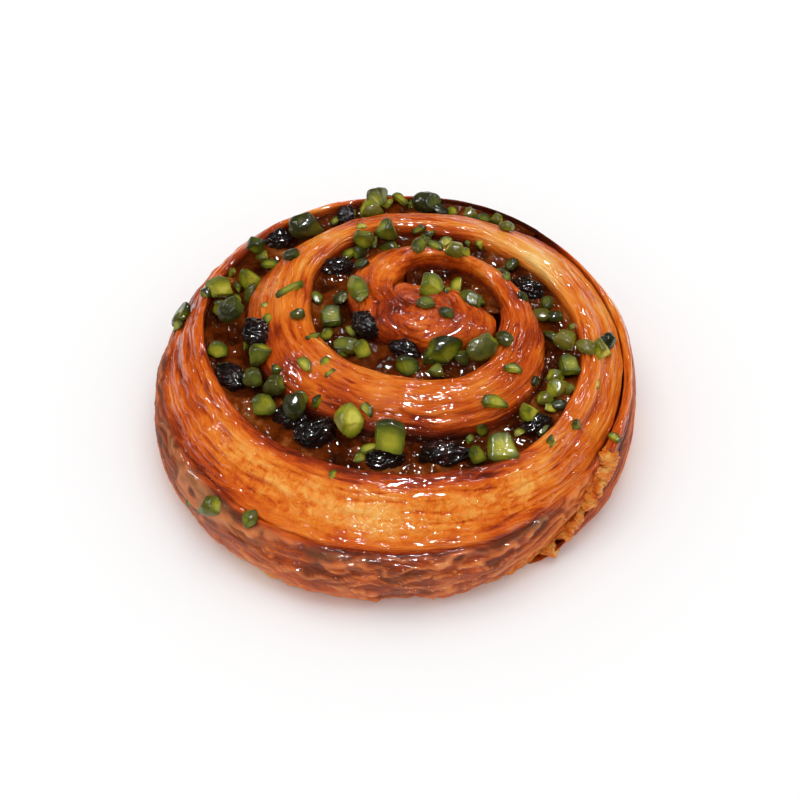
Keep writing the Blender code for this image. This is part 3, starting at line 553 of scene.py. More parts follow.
def grain(x, y, z, seed=0):
    """Smooth noise from -1 to 1 over arrays of coordinates, with features about one unit across."""
    cell = [np.floor(c).astype(np.int64) for c in (x, y, z)]
    t = [c - f for c, f in zip((x, y, z), cell)]
    s = [c * c * c * (c * (c * 6 - 15) + 10) for c in t]
    total = np.zeros(np.broadcast(x, y, z).shape)
    for corner in range(8):
        step = [corner >> k & 1 for k in range(3)]
        weight = 1
        for k in range(3):
            weight = weight * (s[k] if step[k] else 1 - s[k])
        ix, iy, iz = (c + d for c, d in zip(cell, step))
        lean = [dice(ix, iy, iz, 3 * seed + k) * 2 - 1 for k in range(3)]
        total += weight * sum(g * (c - d) for g, c, d in zip(lean, t, step))
    return total * 1.9


def layered(x, y, z, octaves, seed=0):
    """Several sizes of noise, each half as large and half as strong as the one before."""
    total = 0
    for k in range(octaves):
        total = total + grain(x * 2**k, y * 2**k, z * 2**k + 7.3 * k, seed + k) / 2**k
    return total


def creased(x, y, z, octaves, seed=0):
    """Noise with sharp ridges, from 0 in the hollows to 1 on the ridges."""
    total, most = 0, 0
    for k in range(octaves):
        total = total + (1 - np.abs(grain(x * 2**k, y * 2**k, z * 2**k + 3.1 * k, seed + k))) ** 2 / 2**k
        most += 1 / 2**k
    return total / most


def new_mesh(name, points, faces, material, attributes=None):
    """A smooth-shaded mesh object, with a float for each point in attributes."""
    data = bpy.data.meshes.new(name)
    data.from_pydata(points.tolist(), [], faces)
    for key, values in (attributes or {}).items():
        layer = data.attributes.new(key, "FLOAT", "POINT")
        layer.data.foreach_set("value", np.ascontiguousarray(values, dtype=np.float32).ravel())
    data.materials.append(material)
    data.shade_smooth()
    thing = bpy.data.objects.new(name, data)
    bpy.context.scene.collection.objects.link(thing)
    return thing


def tube(name, grid, material, attributes):
    """A closed tube: each row of the grid of points is a ring round it, and each end is a flat face."""
    stations, rows = grid.shape[:2]
    numbers = np.arange(stations * rows).reshape(stations, rows)
    numbers = np.concatenate([numbers, numbers[:, :1]], axis=1)
    quads = np.stack([numbers[:-1, :-1], numbers[1:, :-1], numbers[1:, 1:], numbers[:-1, 1:]], axis=-1)
    ends = [numbers[0, -2::-1].tolist(), numbers[-1, :-1].tolist()]
    return new_mesh(name, grid.reshape(-1, 3), quads.reshape(-1, 4).tolist() + ends, material, attributes)


def grid_normals(points):
    """The unit normals of a grid of points."""
    down = np.gradient(points, axis=0)
    over = np.gradient(points, axis=1)
    normal = np.cross(down, over)
    length = np.linalg.norm(normal, axis=-1, keepdims=True)
    return normal / np.maximum(length, 1e-12)


# Materials


class Nodes:
    """Builds one material's node tree."""

    def __init__(self, name):
        self.material = bpy.data.materials.new(name)
        self.material.use_nodes = True
        self.tree = self.material.node_tree
        self.shader = self.tree.nodes["Principled BSDF"]

    def add(self, kind, **values):
        node = self.tree.nodes.new(kind)
        for key, value in values.items():
            setattr(node, key, value)
        return node

    def join(self, source, target):
        self.tree.links.new(source, target)

    def attribute(self, name):
        return self.add("ShaderNodeAttribute", attribute_name=name).outputs["Fac"]

    def maths(self, operation, a, b=None, clamp=False):
        node = self.add("ShaderNodeMath", operation=operation, use_clamp=clamp)
        for socket, value in zip(node.inputs, (a, b)):
            if isinstance(value, (int, float)):
                socket.default_value = value
            elif value is not None:
                self.join(value, socket)
        return node.outputs[0]

    def about_zero(self, value, strength):
        """Noise from 0 to 1, moved to go from minus to plus half of a strength."""
        return self.maths("MULTIPLY", self.maths("SUBTRACT", value, 0.5), strength)

    def dots(self, distance, size, sharpness):
        """1 within a size of the middles of cells, and 0 outside."""
        return self.maths("MULTIPLY", self.maths("SUBTRACT", size, distance), sharpness, clamp=True)

    def noise(self, scale, detail=3.0, roughness=0.55, vector=None, distortion=0.0):
        node = self.add("ShaderNodeTexNoise")
        node.inputs["Scale"].default_value = scale
        node.inputs["Detail"].default_value = detail
        node.inputs["Roughness"].default_value = roughness
        node.inputs["Distortion"].default_value = distortion
        self.join(vector or self.add("ShaderNodeTexCoord").outputs["Object"], node.inputs["Vector"])
        return node.outputs["Fac"]

    def ramp(self, factor, stops):
        node = self.add("ShaderNodeValToRGB")
        elements = node.color_ramp.elements
        while len(elements) < len(stops):
            elements.new(0.5)
        for element, (place, colour) in zip(elements, stops):
            element.position = place
            element.color = (*linear(colour), 1)
        self.join(factor, node.inputs["Fac"])
        return node.outputs["Color"]

    def mix(self, factor, a, b):
        node = self.add("ShaderNodeMix", data_type="RGBA")
        for socket, value in zip((node.inputs[0], node.inputs[6], node.inputs[7]), (factor, a, b)):
            if isinstance(value, (int, float)):
                socket.default_value = value
            elif isinstance(value, tuple):
                socket.default_value = (*linear(value), 1)
            else:
                self.join(value, socket)
        return node.outputs[2]

    def bump(self, height, distance, strength=1.0, normal=None):
        node = self.add("ShaderNodeBump")
        node.inputs["Strength"].default_value = strength
        node.inputs["Distance"].default_value = distance
        self.join(height, node.inputs["Height"])
        if normal:
            self.join(normal, node.inputs["Normal"])
        return node.outputs["Normal"]

    def finish(self, colour, normal, glow=None, **sockets):
        """The colour, the relief and the other sockets; glow is how far red, green and blue light goes in."""
        if glow:
            sockets |= {"Subsurface_Weight": 0.1, "Subsurface_Radius": glow, "Subsurface_Scale": 0.5}
        self.join(colour, self.shader.inputs["Base Color"])
        self.join(normal, self.shader.inputs["Normal"])
        self.join(normal, self.shader.inputs["Coat Normal"])
        for key, value in sockets.items():
            socket = self.shader.inputs[key.replace("_", " ")]
            if isinstance(value, (int, float, tuple)):
                socket.default_value = value
            else:
                self.join(value, socket)
        return self.material


def linear(colour):
    """An sRGB colour of 0 to 255 as scene-linear values."""
    shares = [c / 255 for c in colour]
    return tuple(c / 12.92 if c <= 0.04045 else ((c + 0.055) / 1.055) ** 2.4 for c in shares)


def strip_vector(nodes, along_scale, across_scale):
    """Texture coordinates that run along the strip of dough, swaying a little, stretched by two scales."""
    node = nodes.add("ShaderNodeCombineXYZ")
    sway = nodes.about_zero(nodes.noise(120.0, 2.0), 4.0)
    across = nodes.maths("ADD", nodes.attribute("across"), sway)
    nodes.join(nodes.maths("MULTIPLY", nodes.attribute("along"), along_scale), node.inputs[0])
    nodes.join(nodes.maths("MULTIPLY", across, across_scale), node.inputs[1])
    nodes.join(nodes.attribute("lap"), node.inputs[2])
    return node.outputs[0]


def dough_material():
    """Baked, glazed dough: brown is how dark it is, from the baking and from painted shade and light, and
    fine streaks run along the strip.
    """
    nodes = Nodes("crust")
    crisp = nodes.attribute("crisp")
    plain = nodes.maths("SUBTRACT", 1.0, nodes.maths("MULTIPLY", crisp, 0.75), clamp=True)
    streak = nodes.noise(1.0, 5.0, 0.62, strip_vector(nodes, 0.09, 1.5), 0.6)
    streak = nodes.maths("MULTIPLY", nodes.about_zero(streak, 0.42), plain)
    fine = nodes.noise(1.0, 3.0, 0.6, strip_vector(nodes, 0.3, 4.5), 0.4)
    fine = nodes.maths("MULTIPLY", nodes.about_zero(fine, 0.40), plain)
    patch = nodes.about_zero(nodes.noise(130.0, 3.0), 0.34)
    leather = nodes.noise(520.0, 4.0, 0.62, None, 1.2)
    leather = nodes.maths("MULTIPLY", nodes.about_zero(leather, 0.7), crisp)
    baked = nodes.maths("ADD", nodes.maths("ADD", nodes.attribute("brown"), leather), streak)
    baked = nodes.maths("ADD", nodes.maths("ADD", baked, fine), patch, clamp=True)
    colour = nodes.ramp(baked, CRUST_COLOURS)
    # The side's folds are mixed towards pale pink: thin dough with a painted sheen on it
    colour = nodes.mix(nodes.attribute("pale_folds_and_sheen"), colour, (216, 152, 100))

    # Tiny bubbles in the glaze, with a painted highlight: a pale glint dot in the middle of some of them
    cells = nodes.add("ShaderNodeTexVoronoi", feature="F1")
    cells.inputs["Scale"].default_value = 620.0
    nodes.join(nodes.add("ShaderNodeTexCoord").outputs["Object"], cells.inputs["Vector"])
    painted_glint = nodes.dots(cells.outputs["Distance"], 0.085, 30.0)
    sparse = nodes.maths("MULTIPLY", nodes.maths("SUBTRACT", nodes.noise(70.0, 2.0), 0.46), 12.0, clamp=True)
    # The painted glint dots are mixed into the colour
    colour = nodes.mix(nodes.maths("MULTIPLY", painted_glint, sparse), colour, (255, 236, 206))
    bubble = nodes.dots(cells.outputs["Distance"], 0.26, 3.8)

    normal = nodes.bump(streak, 0.0007)
    normal = nodes.bump(fine, 0.0005, 1.0, normal)
    normal = nodes.bump(nodes.noise(480.0, 4.0, 0.6), 0.00014, 1.0, normal)
    normal = nodes.bump(leather, 0.0007, 1.0, normal)
    glaze = nodes.noise(1.0, 1.0, 0.5, strip_vector(nodes, 0.08, 0.9), 0.3)
    wet = nodes.bump(bubble, 0.00016, 1.0, nodes.bump(glaze, 0.0007))
    dry = nodes.attribute("dry")
    nodes.finish(
        colour,
        normal,
        Roughness=nodes.maths("ADD", nodes.maths("MULTIPLY", dry, 0.25), 0.36),
        Specular_IOR_Level=0.05,
        Coat_Weight=nodes.maths("SUBTRACT", 1.0, nodes.maths("MULTIPLY", dry, 0.7)),
        Coat_Roughness=0.05,
        glow=(0.004, 0.0016, 0.0006),
    )
    nodes.join(wet, nodes.shader.inputs["Coat Normal"])
    return nodes.material


def custard_material():
    """Custard baked to a brown, glossy skin with paler and darker patches."""
    nodes = Nodes("custard")
    patch = nodes.noise(210.0, 5.0, 0.6)
    tone = nodes.maths("MULTIPLY", nodes.attribute("tone"), 0.5)
    colour = nodes.ramp(nodes.maths("ADD", nodes.maths("MULTIPLY", patch, 0.85), tone), CUSTARD_COLOURS)
    normal = nodes.bump(nodes.noise(210.0, 0.0), 0.0005)
    return nodes.finish(
        colour,
        normal,
        Roughness=0.4,
        Specular_IOR_Level=0.0,
        Coat_Weight=0.7,
        Coat_Roughness=0.03,
        glow=(0.004, 0.0015, 0.0006),
    )


def raisin_material():
    """Black-brown, wet skin."""
    nodes = Nodes("raisin")
    return nodes.finish(
        nodes.ramp(nodes.noise(260.0, 3.0), RAISIN_COLOURS),
        nodes.bump(nodes.noise(300.0, 0.0), 0.00008),
        Roughness=0.4,
        Specular_IOR_Level=0.1,
        Coat_Weight=1.0,
        Coat_Roughness=0.03,
    )


def pistachio_material():
    """Kernels: a dark green, finely wrinkled skin, and smooth yellow-green cut faces."""
    nodes = Nodes("pistachio")
    mottle = nodes.noise(300.0, 4.0, 0.6)
    tone = nodes.attribute("tone")
    shade = nodes.maths("ADD", nodes.maths("MULTIPLY", mottle, 0.6), nodes.maths("MULTIPLY", tone, 0.5))
    skin = nodes.ramp(shade, SKIN_COLOURS)
    heart = nodes.maths("MULTIPLY", nodes.attribute("heart"), 0.42)
    pale = nodes.maths("ADD", nodes.maths("MULTIPLY", mottle, 0.4), nodes.maths("MULTIPLY", tone, 0.4))
    inside = nodes.ramp(nodes.maths("ADD", pale, heart), KERNEL_COLOURS)
    colour = nodes.mix(nodes.attribute("cut"), skin, inside)
    normal = nodes.bump(nodes.noise(700.0, 4.0, 0.6), 0.00012)
    return nodes.finish(
        colour,
        normal,
        Roughness=0.42,
        Specular_IOR_Level=0.15,
        Coat_Weight=0.6,
        Coat_Roughness=0.08,
        glow=(0.0012, 0.002, 0.0004),
    )


# The dough


def strip_turns():
    """The turn angles of the fine stations, from the outer end in to the core."""
    laps = enumerate(STATIONS_BY_LAP)
    turns = np.concatenate([TAIL_TURN + 360 * (lap + np.arange(count) / count) for lap, count in laps])
    return turns[turns <= SEAM_END + 360]


def side_points(turn, share):
    """(distance from core, turn angle, height) down the side: share is 0 at the shoulder, 1 at the base."""
    r_top, _, z_top, _ = shoulder(turn)
    upper = np.clip(share / UPPER_SHARE, 0, 1)
    lower = np.clip((share - UPPER_SHARE) / (1 - UPPER_SHARE), 0, 1)
    beta, gamma = np.pi / 2 * (1 - upper), np.pi / 2 * lower
    upper_z = WIDEST_HEIGHT + (z_top - WIDEST_HEIGHT) * np.sin(beta)
    z = np.where(lower > 0, WIDEST_HEIGHT * (1 - np.sin(gamma)), upper_z)
    near_tail = np.maximum(0, 1 - np.minimum(turn - TAIL_TURN, TAIL_TURN + 360 - turn) / SLANT_REACH)
    slanted = turn - TAIL_SLANT * near_tail * (1 - z / z_top)
    widest = outline(slanted) - tail_step(turn)
    r = widest - (widest - r_top) * (1 - np.cos(beta)) - base_inset(turn) * (1 - np.cos(gamma))
    return r, slanted, z


def polar(r, turn, z):
    """An array of points from arrays of distances from the core, turn angles and heights."""
    angle = np.radians(turn)
    return np.stack(np.broadcast_arrays(CORE.x + r * np.cos(angle), CORE.y + r * np.sin(angle), z), axis=-1)


def strip_grid(turn, outer):
    """(points, middle radius, width) of the strip's stations, with rows round the section.

    The rows are the inner wall, the ridge, the side or the outer wall, and the base.
    """
    r_in, half_in, level_in, _ = seam(turn)
    r_out, half_out, level_out, _ = np.where(outer, shoulder(turn), seam(turn - 360))
    open_in, open_out = is_open(turn), is_open(turn - 360)
    gap_in = np.where(open_in, FIT, SHUT_GAP)
    gap_out = np.where(outer, 0, np.where(open_out, FIT, SHUT_GAP))
    root_in = np.where(open_in, np.minimum(ROOT_SHARE * half_in, CUSTARD_ROOT), 0)
    root_out = np.where(open_out, np.minimum(ROOT_SHARE * half_out, CUSTARD_ROOT), 0)

    k = np.linspace(0, 1, WALL_ROWS, endpoint=False)[None, :]
    wall = polar(r_in + gap_in + root_in * (1 - k) + half_in * k, turn, level_in * k)
    w = np.linspace(0, 1, RIDGE_ROWS)[None, :] + 0 * turn
    r, z = ridge(turn + 0 * w, w)
    top = polar(r + gap_in * (1 - w) - gap_out * w, turn, z)
    k = np.linspace(0, 1, SIDE_ROWS + 1)[None, 1:]
    side = polar(*side_points(turn + 0 * k, k + 0 * turn))
    outer_wall = polar(r_out - gap_out - half_out * (1 - k) - root_out * k, turn, level_out * (1 - k))
    side = np.where(outer[:, :, None], side, outer_wall)
    k = np.linspace(0, 1, BASE_ROWS + 1)[None, 1:-1, None]
    base = side[:, -1:] * (1 - k) + wall[:, :1] * k
    points = np.concatenate([wall, top, side, base], axis=1)
    return points, (r_in + r_out) / 2, r_out - r_in - half_in - half_out


def weigh(weights, patterns):
    """The sum of the patterns that have a weight, each times its weight."""
    return sum(weight * patterns[key] for key, weight in weights.items())


class Skin:
    """The dough's skin: its grid of points, and for each point where it lies and the patterns there.

    along and across are in millimetres, and lap counts the turns from the outer end. From 0 to 1, w goes over
    the ridge and down goes down the side.
    """

    def __init__(self):
        turn = strip_turns()[:, None]
        self.turn = turn
        self.outer = turn < TAIL_TURN + 360
        self.way = (turn - TAIL_TURN) % 360 + TAIL_TURN
        self.points, middle, self.width = strip_grid(turn, self.outer)
        steps = np.linalg.norm(np.diff(self.points, axis=1, prepend=self.points[:, :1]), axis=-1)
        across = np.cumsum(steps, axis=1) / MM
        self.across = across - across[:, WALL_ROWS : WALL_ROWS + 1]
        self.far = np.maximum(self.across[:, WALL_ROWS + RIDGE_ROWS - 1][:, None] - self.across, 0)
        along = np.cumsum(np.gradient(np.radians(turn[:, 0])) * middle[:, 0])[:, None] / MM
        self.along = along + 0 * across
        self.lap = (turn - TAIL_TURN) / 360 + 0 * across

        rows = across.shape[1]
        row = np.arange(rows)[None, :] + 0 * turn
        ridge_end = WALL_ROWS + RIDGE_ROWS
        self.on_wall = row < WALL_ROWS
        self.on_top = (row >= WALL_ROWS) & (row < ridge_end)
        self.on_side = (row >= ridge_end) & (row < rows - BASE_ROWS + 1) & self.outer
        self.w = np.clip((row - WALL_ROWS) / (RIDGE_ROWS - 1), 0, 1)
        self.down = np.clip((row - ridge_end) / (SIDE_ROWS - 1), 0, 1) * self.on_side
        lip = np.minimum(self.w, 1 - np.where(self.outer, 0, self.w)) * 5
        self.top = self.on_top * ease(lip) + self.on_side * (1 - ease(self.down * 6))
        self.side = self.on_side * ease(self.down * 5) * ease((1 - self.down) * 8)
        self.flaky = ease((self.down - 0.74) * 6) * self.on_side
        self.front = between(self.way, *FRONT)
        self.right = ease((70 - self.way) / 30)
        self.core = ease((turn - CORE_BEGINS[0]) / (CORE_BEGINS[1] - CORE_BEGINS[0]))
        self.band = self.front * self.outer * self.on_top
        self.find_patterns()

    def find_patterns(self):
        """The patterns of the crust by name, each from about -1 or 0 to 1."""
        x, y, z = (self.points[..., c] / MM for c in range(3))
        u, v, lap = self.along, self.across, self.lap
        lumps = layered(x / LUMPS, y / LUMPS, z / LUMPS, 3, 11)
        sway = v + 1.1 * grain(u / 8, v / 5, 3 * lap, 26)
        cleft = bell(grain(u / CLEFT[0], v / CLEFT[1] + 0.2 * lumps, 6 * lap, 24), 0, 0.09)
        bend = 0.5 * layered(x / 6, y / 6, z / 6, 2, 34)
        swell = grain(u / FOLD[0] + 0.6 * bend, z / FOLD[1] + 1.1 * bend, 0 * u, 31)
        wander = 0.05 + 0.05 * grain(u / 16, 0 * u, 0 * u, 36)
        # A wandering crease just below the front shoulder: sunk in the relief, and darkened with painted
        # shade as well as the sheet's dark edge
        crease = bell(self.down, wander, 0.05) * self.on_side * self.front
        crease = crease * ease(0.7 + grain(u / 9, 0 * u, 0 * u, 37)) * ease((self.way - 232) / 30)
        self.patterns = {
            "lumps": lumps,
            "broad": grain(u / BROAD[0], v / BROAD[1], lap, 21),
            "lamina": grain(u / LAMINA[0], sway / LAMINA[1], 4 * lap, 22),
            "thread": grain(u / THREAD[0], sway / THREAD[1], 9 * lap, 23),
            "cleft": cleft * ease(0.5 + 1.4 * grain(u / 12, v / 6, 2 * lap, 25)),
            "fold": bell(swell, 0, 0.11),
            "swell": swell,
            "wrinkle": bell(grain(u / WRINKLE[0] + bend, z / WRINKLE[1] + bend, 0 * u, 33), 0, 0.12),
            "skin": creased(x / 5.5, y / 5.5, z / 3.2, 3, 32) - 0.5,
            "crease": crease,
            "flake": self.flaky * grain(u / FLAKE[0], z / FLAKE[1], 0 * u, 35),
            "below": ease(0.6 + grain(u / 11, 0 * u, 0 * u + 3, 38)),
        }

    def raised(self):
        """The points with the relief of the crust on them."""
        patterns = self.patterns
        calm = 1 - 0.7 * self.core
        height = LUMP_RELIEF * patterns["lumps"] * (self.on_top | self.on_side)
        height = height + self.top * (BROAD_RELIEF * patterns["broad"] + calm * weigh(FINE_RELIEF, patterns))
        rough = 0.4 + 0.6 * ease((self.way - 200) / 40)
        height = height + rough * self.side * weigh(SIDE_RELIEF, patterns)
        band = HOLLOW_RELIEF * bell(self.w, 0.6, 0.14) + ROLL_RELIEF * bell(self.w, 0.87, 0.08)
        height = height + self.band * band
        height = height + CREASE_RELIEF * patterns["crease"] + FLAKE_RELIEF * patterns["flake"]
        normal = grid_normals(self.points)
        if normal[len(normal) // 8, WALL_ROWS + RIDGE_ROWS // 2, 2] < 0:
            normal = -normal
        thin = np.clip(self.width / (4 * MM), 0, 1)
        points = self.points + normal * (height * thin * MM)[..., None]
        points[..., 2] = np.maximum(points[..., 2], 0)
        return points

    def brown(self):
        """How dark the crust is, from 0 to 1: its baking, with painted shade and light in places."""
        patterns, turn, outer = self.patterns, self.turn, self.outer
        # Darker beside the seams: caramel where custard parts them and painted shade on the slopes down into
        # them; at a shut seam, only painted shade in the crease
        inner = np.where(is_open(turn), bell(self.across, 0, 1.7), 0.15 * bell(self.across, 0, 0.7))
        outside = np.where(is_open(turn - 360), bell(self.far, 0, 2.2), 0.15 * bell(self.far, 0, 0.7))
        rim = ease((self.w - 0.78) / 0.22) * outer * self.on_top
        rim = rim + ease((0.35 - self.down) / 0.3) * self.on_side
        # The side's folds: paler on the raised folds and darker in the hollows, partly thin dough and partly
        # painted light and shade
        side = {key: self.side * patterns[key] for key in ("fold", "wrinkle", "swell")}
        shades = patterns | side | {
            # The clefts: painted shade in the sunk clefts as well as darker lines of dough
            "cleft": patterns["cleft"] * self.top,
            "by custard": inner * self.on_top,
            "by outer custard": np.where(outer, 0, outside) * self.on_top,
            "caramel": between(turn, *CARAMEL) * bell(self.far, 0, 4.2) * self.on_top,
            "pale": self.pale(),
            "scorched": between(turn, *SCORCHED) * bell(self.far, 0, 3.4) * self.on_top,
            "inner lip": bell(self.w, 0.22, 0.12) * self.band,
            "below": bell(self.down, 0.17, 0.09) * self.on_side * self.front * patterns["below"],
            "side": self.side,
            "skin": -self.side * patterns["skin"],
            "flaky": self.flaky,
            "front rim": rim * self.front,
            "right rim": rim * self.right,
        }
        brown = smooth(BAKED, turn) + GLAZE_TINT + weigh(BROWNING, shades)
        for px, py, radius, darker in PATCHES:
            away = np.linalg.norm(self.points - np.array(seen_place(px, py, 0)[0]), axis=-1) / MM
            brown = brown + darker * bell(away * (1 + 0.3 * patterns["lumps"]), 0, radius)
        return np.where(self.on_wall, WALL_BROWN, brown)

    def pale(self):
        """Where the front band is dry and pale."""
        return bell(self.w, 0.58, 0.2) * self.band

    def dry(self):
        """Where the crust is rough and has less glaze."""
        edge = ease((self.w - 0.8) / 0.2) * self.outer * self.on_top
        side = (1.2 - 0.5 * self.front) * self.side + 0.5 * (1 - self.front) * edge
        return np.minimum(0.95 * self.pale() + 0.7 * self.flaky + side, 1.3)

    def pale_folds_and_sheen(self):
        """Where the side's folds are thin and pale, with a painted pinkish sheen on them."""
        folds = 0.08 + 0.32 * self.patterns["fold"] + 0.16 * self.patterns["wrinkle"]
        return self.side * folds * (1 - 0.6 * self.right)


def dough_skin(material):
    """The strip of dough as one closed tube."""
    skin = Skin()
    looks = {
        "along": skin.along,
        "across": skin.across,
        "lap": LAP_CHANGE * skin.lap,
        "brown": skin.brown(),
        "dry": skin.dry(),
        "pale_folds_and_sheen": skin.pale_folds_and_sheen(),
        "crisp": np.clip(1.3 * skin.pale() + 0.35 * skin.side + 0.6 * skin.core, 0, 1),
    }
    return tube("dough_strip", skin.raised(), material, looks)


def end_crumbs(material):
    """The crumbly, layered edge of the strip's outer end: small lumps from its shoulder down to the base."""
    directions, faces = ball(3)
    x, y, z = directions.T
    draw = random.Random(7)
    points = []
    for number in range(END_CRUMBS):
        share = END_REACH * draw.random() ** 0.9
        into = draw.random() ** 1.3
        r, slanted, height = (float(v) for v in side_points(np.array(TAIL_TURN), np.array(share)))
        turn = slanted - draw.uniform(-1.5, 1.2)
        size = Vector([draw.uniform(*limits) for limits in END_LUMP]) * MM
        inset = (END_DEPTH[0] * (1 - into) + END_DEPTH[1] * into) * MM
        middle = polar(np.array(r - inset), np.array(turn), np.array(max(height, 0.9 * MM)))
        swell = 1 + 0.25 * layered(1.6 * x + number, 1.6 * y, 1.6 * z, 2, 71)
        lump = directions * swell[:, None] * np.array(size)
        turned = Matrix.Rotation(math.radians(turn + 60 + draw.uniform(-30, 30)), 4, "Z")
        tilt = Matrix.Rotation(draw.uniform(-0.6, 0.6), 4, "Y")
        lump = placed(lump, Matrix.Translation(middle) @ turned @ tilt)
        lump[:, 2] = np.maximum(lump[:, 2], 0)
        points.append(lump)
    faces = np.concatenate([faces + number * len(directions) for number in range(END_CRUMBS)])
    points = np.concatenate(points)
    x, y, z = (points / MM).T
    looks = {"along": 7 * x, "across": 3 * y + 3 * z, "lap": 0 * x, "dry": 0 * x + 0.3, "pale_folds_and_sheen": 0 * x}
    looks |= {"crisp": 0 * x + 0.6, "brown": 0.36 + 0.22 * grain(x / 2, y / 2, z / 2, 72)}
    return new_mesh("end_crumbs", points, faces.tolist(), material, looks)


def custard_skin(name, run, material):
    """A run of custard as a closed tube: a lumpy top, and sides that narrow down to the base."""
    start, end = run
    length = np.radians(end - start) * CUSTARD_RADIUS
    turn = np.linspace(start + 0.4, end - 0.4, int(length / CUSTARD_STEP))[:, None]
    r, half, level, _ = seam(turn)
    half = half + FIT + CUSTARD_LAP
    k = np.linspace(-1, 1, CUSTARD_ROWS)[None, :]
    x, y = (polar(r + half * k, turn, 0)[..., c] / MM for c in range(2))
    lump = layered(x / CUSTARD_LUMPS, y / CUSTARD_LUMPS, 0 * x, 2, 41)
    fade = 1 - np.abs(k) ** 6
    top = polar(r + half * k, turn, level + (CUSTARD_RELIEF * lump * fade - CUSTARD_SINK) * MM)
    low = np.array([[1, 0.5, -0.5, -1]])
    root = np.minimum(ROOT_SHARE * half, CUSTARD_ROOT)
    bottom = polar(r + root * low, turn, 0 * turn + 0 * low)
    tone = 0.5 + 0.3 * layered(x / 9, y / 9, 0 * x + 5, 2, 43)
    tone = np.concatenate([tone, 0.4 + 0 * (low + turn)], axis=1)
    return tube(name + "_filling", np.concatenate([top, bottom], axis=1), material, {"tone": tone})


# Raisins and pistachios


def ball(detail):
    """(unit directions, triangles) of a fine ball."""
    mesh = bmesh.new()
    bmesh.ops.create_icosphere(mesh, subdivisions=detail, radius=1)
    points = np.array([v.co for v in mesh.verts])
    faces = np.array([[v.index for v in f.verts] for f in mesh.faces])
    mesh.free()
    return points / np.linalg.norm(points, axis=1, keepdims=True), faces


def cut_reach(toward, away):
    """How far each direction reaches before it meets a plane at a distance from the middle."""
    return np.where(toward > CUT_LEAST, away / np.maximum(toward, CUT_LEAST), 50)


def kernel(length, width, height, cut, seed, balls):
    """(points, triangles, {"cut", "heart"}) of a pistachio piece, its length along X."""
    directions, faces = balls
    draw = random.Random(seed)
    x, y, z = directions.T
    rough = grain(x * 2.2, y * 2.2, z * 2.2 + seed, 51)
    wavy = 1 + 0.05 * grain(x * 3.5, y * 3.5, z * 3.5 + seed, 52)
    reach = [1 + 0.05 * rough]
    for point, way in CUTS[cut]:
        jitter = Vector([draw.uniform(-CUT_JITTER, CUT_JITTER) for _ in range(3)])
        way = (Vector(way) + jitter).normalized()
        toward = directions @ np.array(way)
        hollow = 1 - CUT_HOLLOW * np.clip(toward, 0, 1) ** 3
        reach.append(cut_reach(toward, max(Vector(point).dot(way), 0.12) * wavy * hollow))
    for _ in range(SHALLOW_CUTS):
        way = Vector([draw.uniform(-1, 1) for _ in range(3)]).normalized()
        reach.append(cut_reach(directions @ np.array(way), draw.uniform(*SHALLOW_DEPTH)))
    near = np.exp(-CUT_SHARPNESS * np.minimum(np.array(reach), 3))
    radius = -np.log(near.sum(axis=0)) / CUT_SHARPNESS
    cut_share = near[1:].sum(axis=0) / near.sum(axis=0)
    points = directions * radius[:, None] * np.array([length, width, height]) / 2
    return points, faces, {"cut": cut_share, "heart": np.clip((0.95 - radius) / 0.5, 0, 1)}


def raisin(length, width, height, seed, balls):
    """(points, triangles) of a wrinkled raisin, its length along X."""
    directions, faces = balls
    shift = Vector((seed * 3.1, 0, 0))
    places = [Vector(direction) for direction in directions]
    lumps = [noise.noise(p * 1.7 + shift) + 0.25 * noise.noise(p * 3.9 + shift) for p in places]
    x, y, z = directions.T
    folds = creased(x * 1.2 + seed, y * 1.9 + 0.5 * grain(x * 2, y * 2, z * 2, 62), z * 1.9, 1, 61)
    radius = 1 + RAISIN_LUMPS * np.array(lumps) - RAISIN_FOLDS * (folds - 0.5)
    return directions * radius[:, None] * np.array([length, width, height]) / 2, faces


def seen_place(px, py, lift):
    """(point, normal) behind a pixel of the photograph, at a height of lift above the bun's surface.

    A pixel that misses the bun moves towards the middle until it meets it.
    """
    up = Vector((0, math.sin(VIEW_ELEVATION), math.cos(VIEW_ELEVATION)))
    focal = PIXELS_PER_METRE * VIEW_DISTANCE
    depth = VIEW_DISTANCE + np.linspace(-PROBE, PROBE, PROBE_STEPS)
    hit = np.array([False])
    while not hit.any():
        ray = FORWARD + Vector(((px - AIM_PIXEL[0]) / focal, 0, 0)) - up * ((py - AIM_PIXEL[1]) / focal)
        path = np.array(EYE)[:, None] + np.array(ray)[:, None] * depth
        below = surface(path[0], path[1])
        hit = (below > 0) & (path[2] < below + lift)
        px, py = ((1 - INWARD) * p + INWARD * aim for p, aim in zip((px, py), AIM_PIXEL))
    x, y, z = path[:, int(np.argmax(hit))]
    slope_x = surface(x + SLOPE_REACH, y) - surface(x - SLOPE_REACH, y)
    slope_y = surface(x, y + SLOPE_REACH) - surface(x, y - SLOPE_REACH)
    normal = Vector((-float(slope_x), -float(slope_y), 2 * SLOPE_REACH)).normalized()
    return Vector((x, y, z)), normal


def standing(place, normal, heading):
    """The matrix of a topping in its place, with its length along a heading."""
    up = (normal + Vector((0, 0, UPRIGHT))).normalized()
    angle = math.radians(heading)
    along = Vector((math.cos(angle), math.sin(angle), 0))
    side = up.cross(along).normalized()
    turn = Matrix((side.cross(up), side, up)).transposed().to_4x4()
    return Matrix.Translation(place) @ turn


def placed(points, matrix):
    """The points turned and moved by a matrix."""
    rotation = np.array(matrix.to_3x3())
    return points @ rotation.T + np.array(matrix.translation)


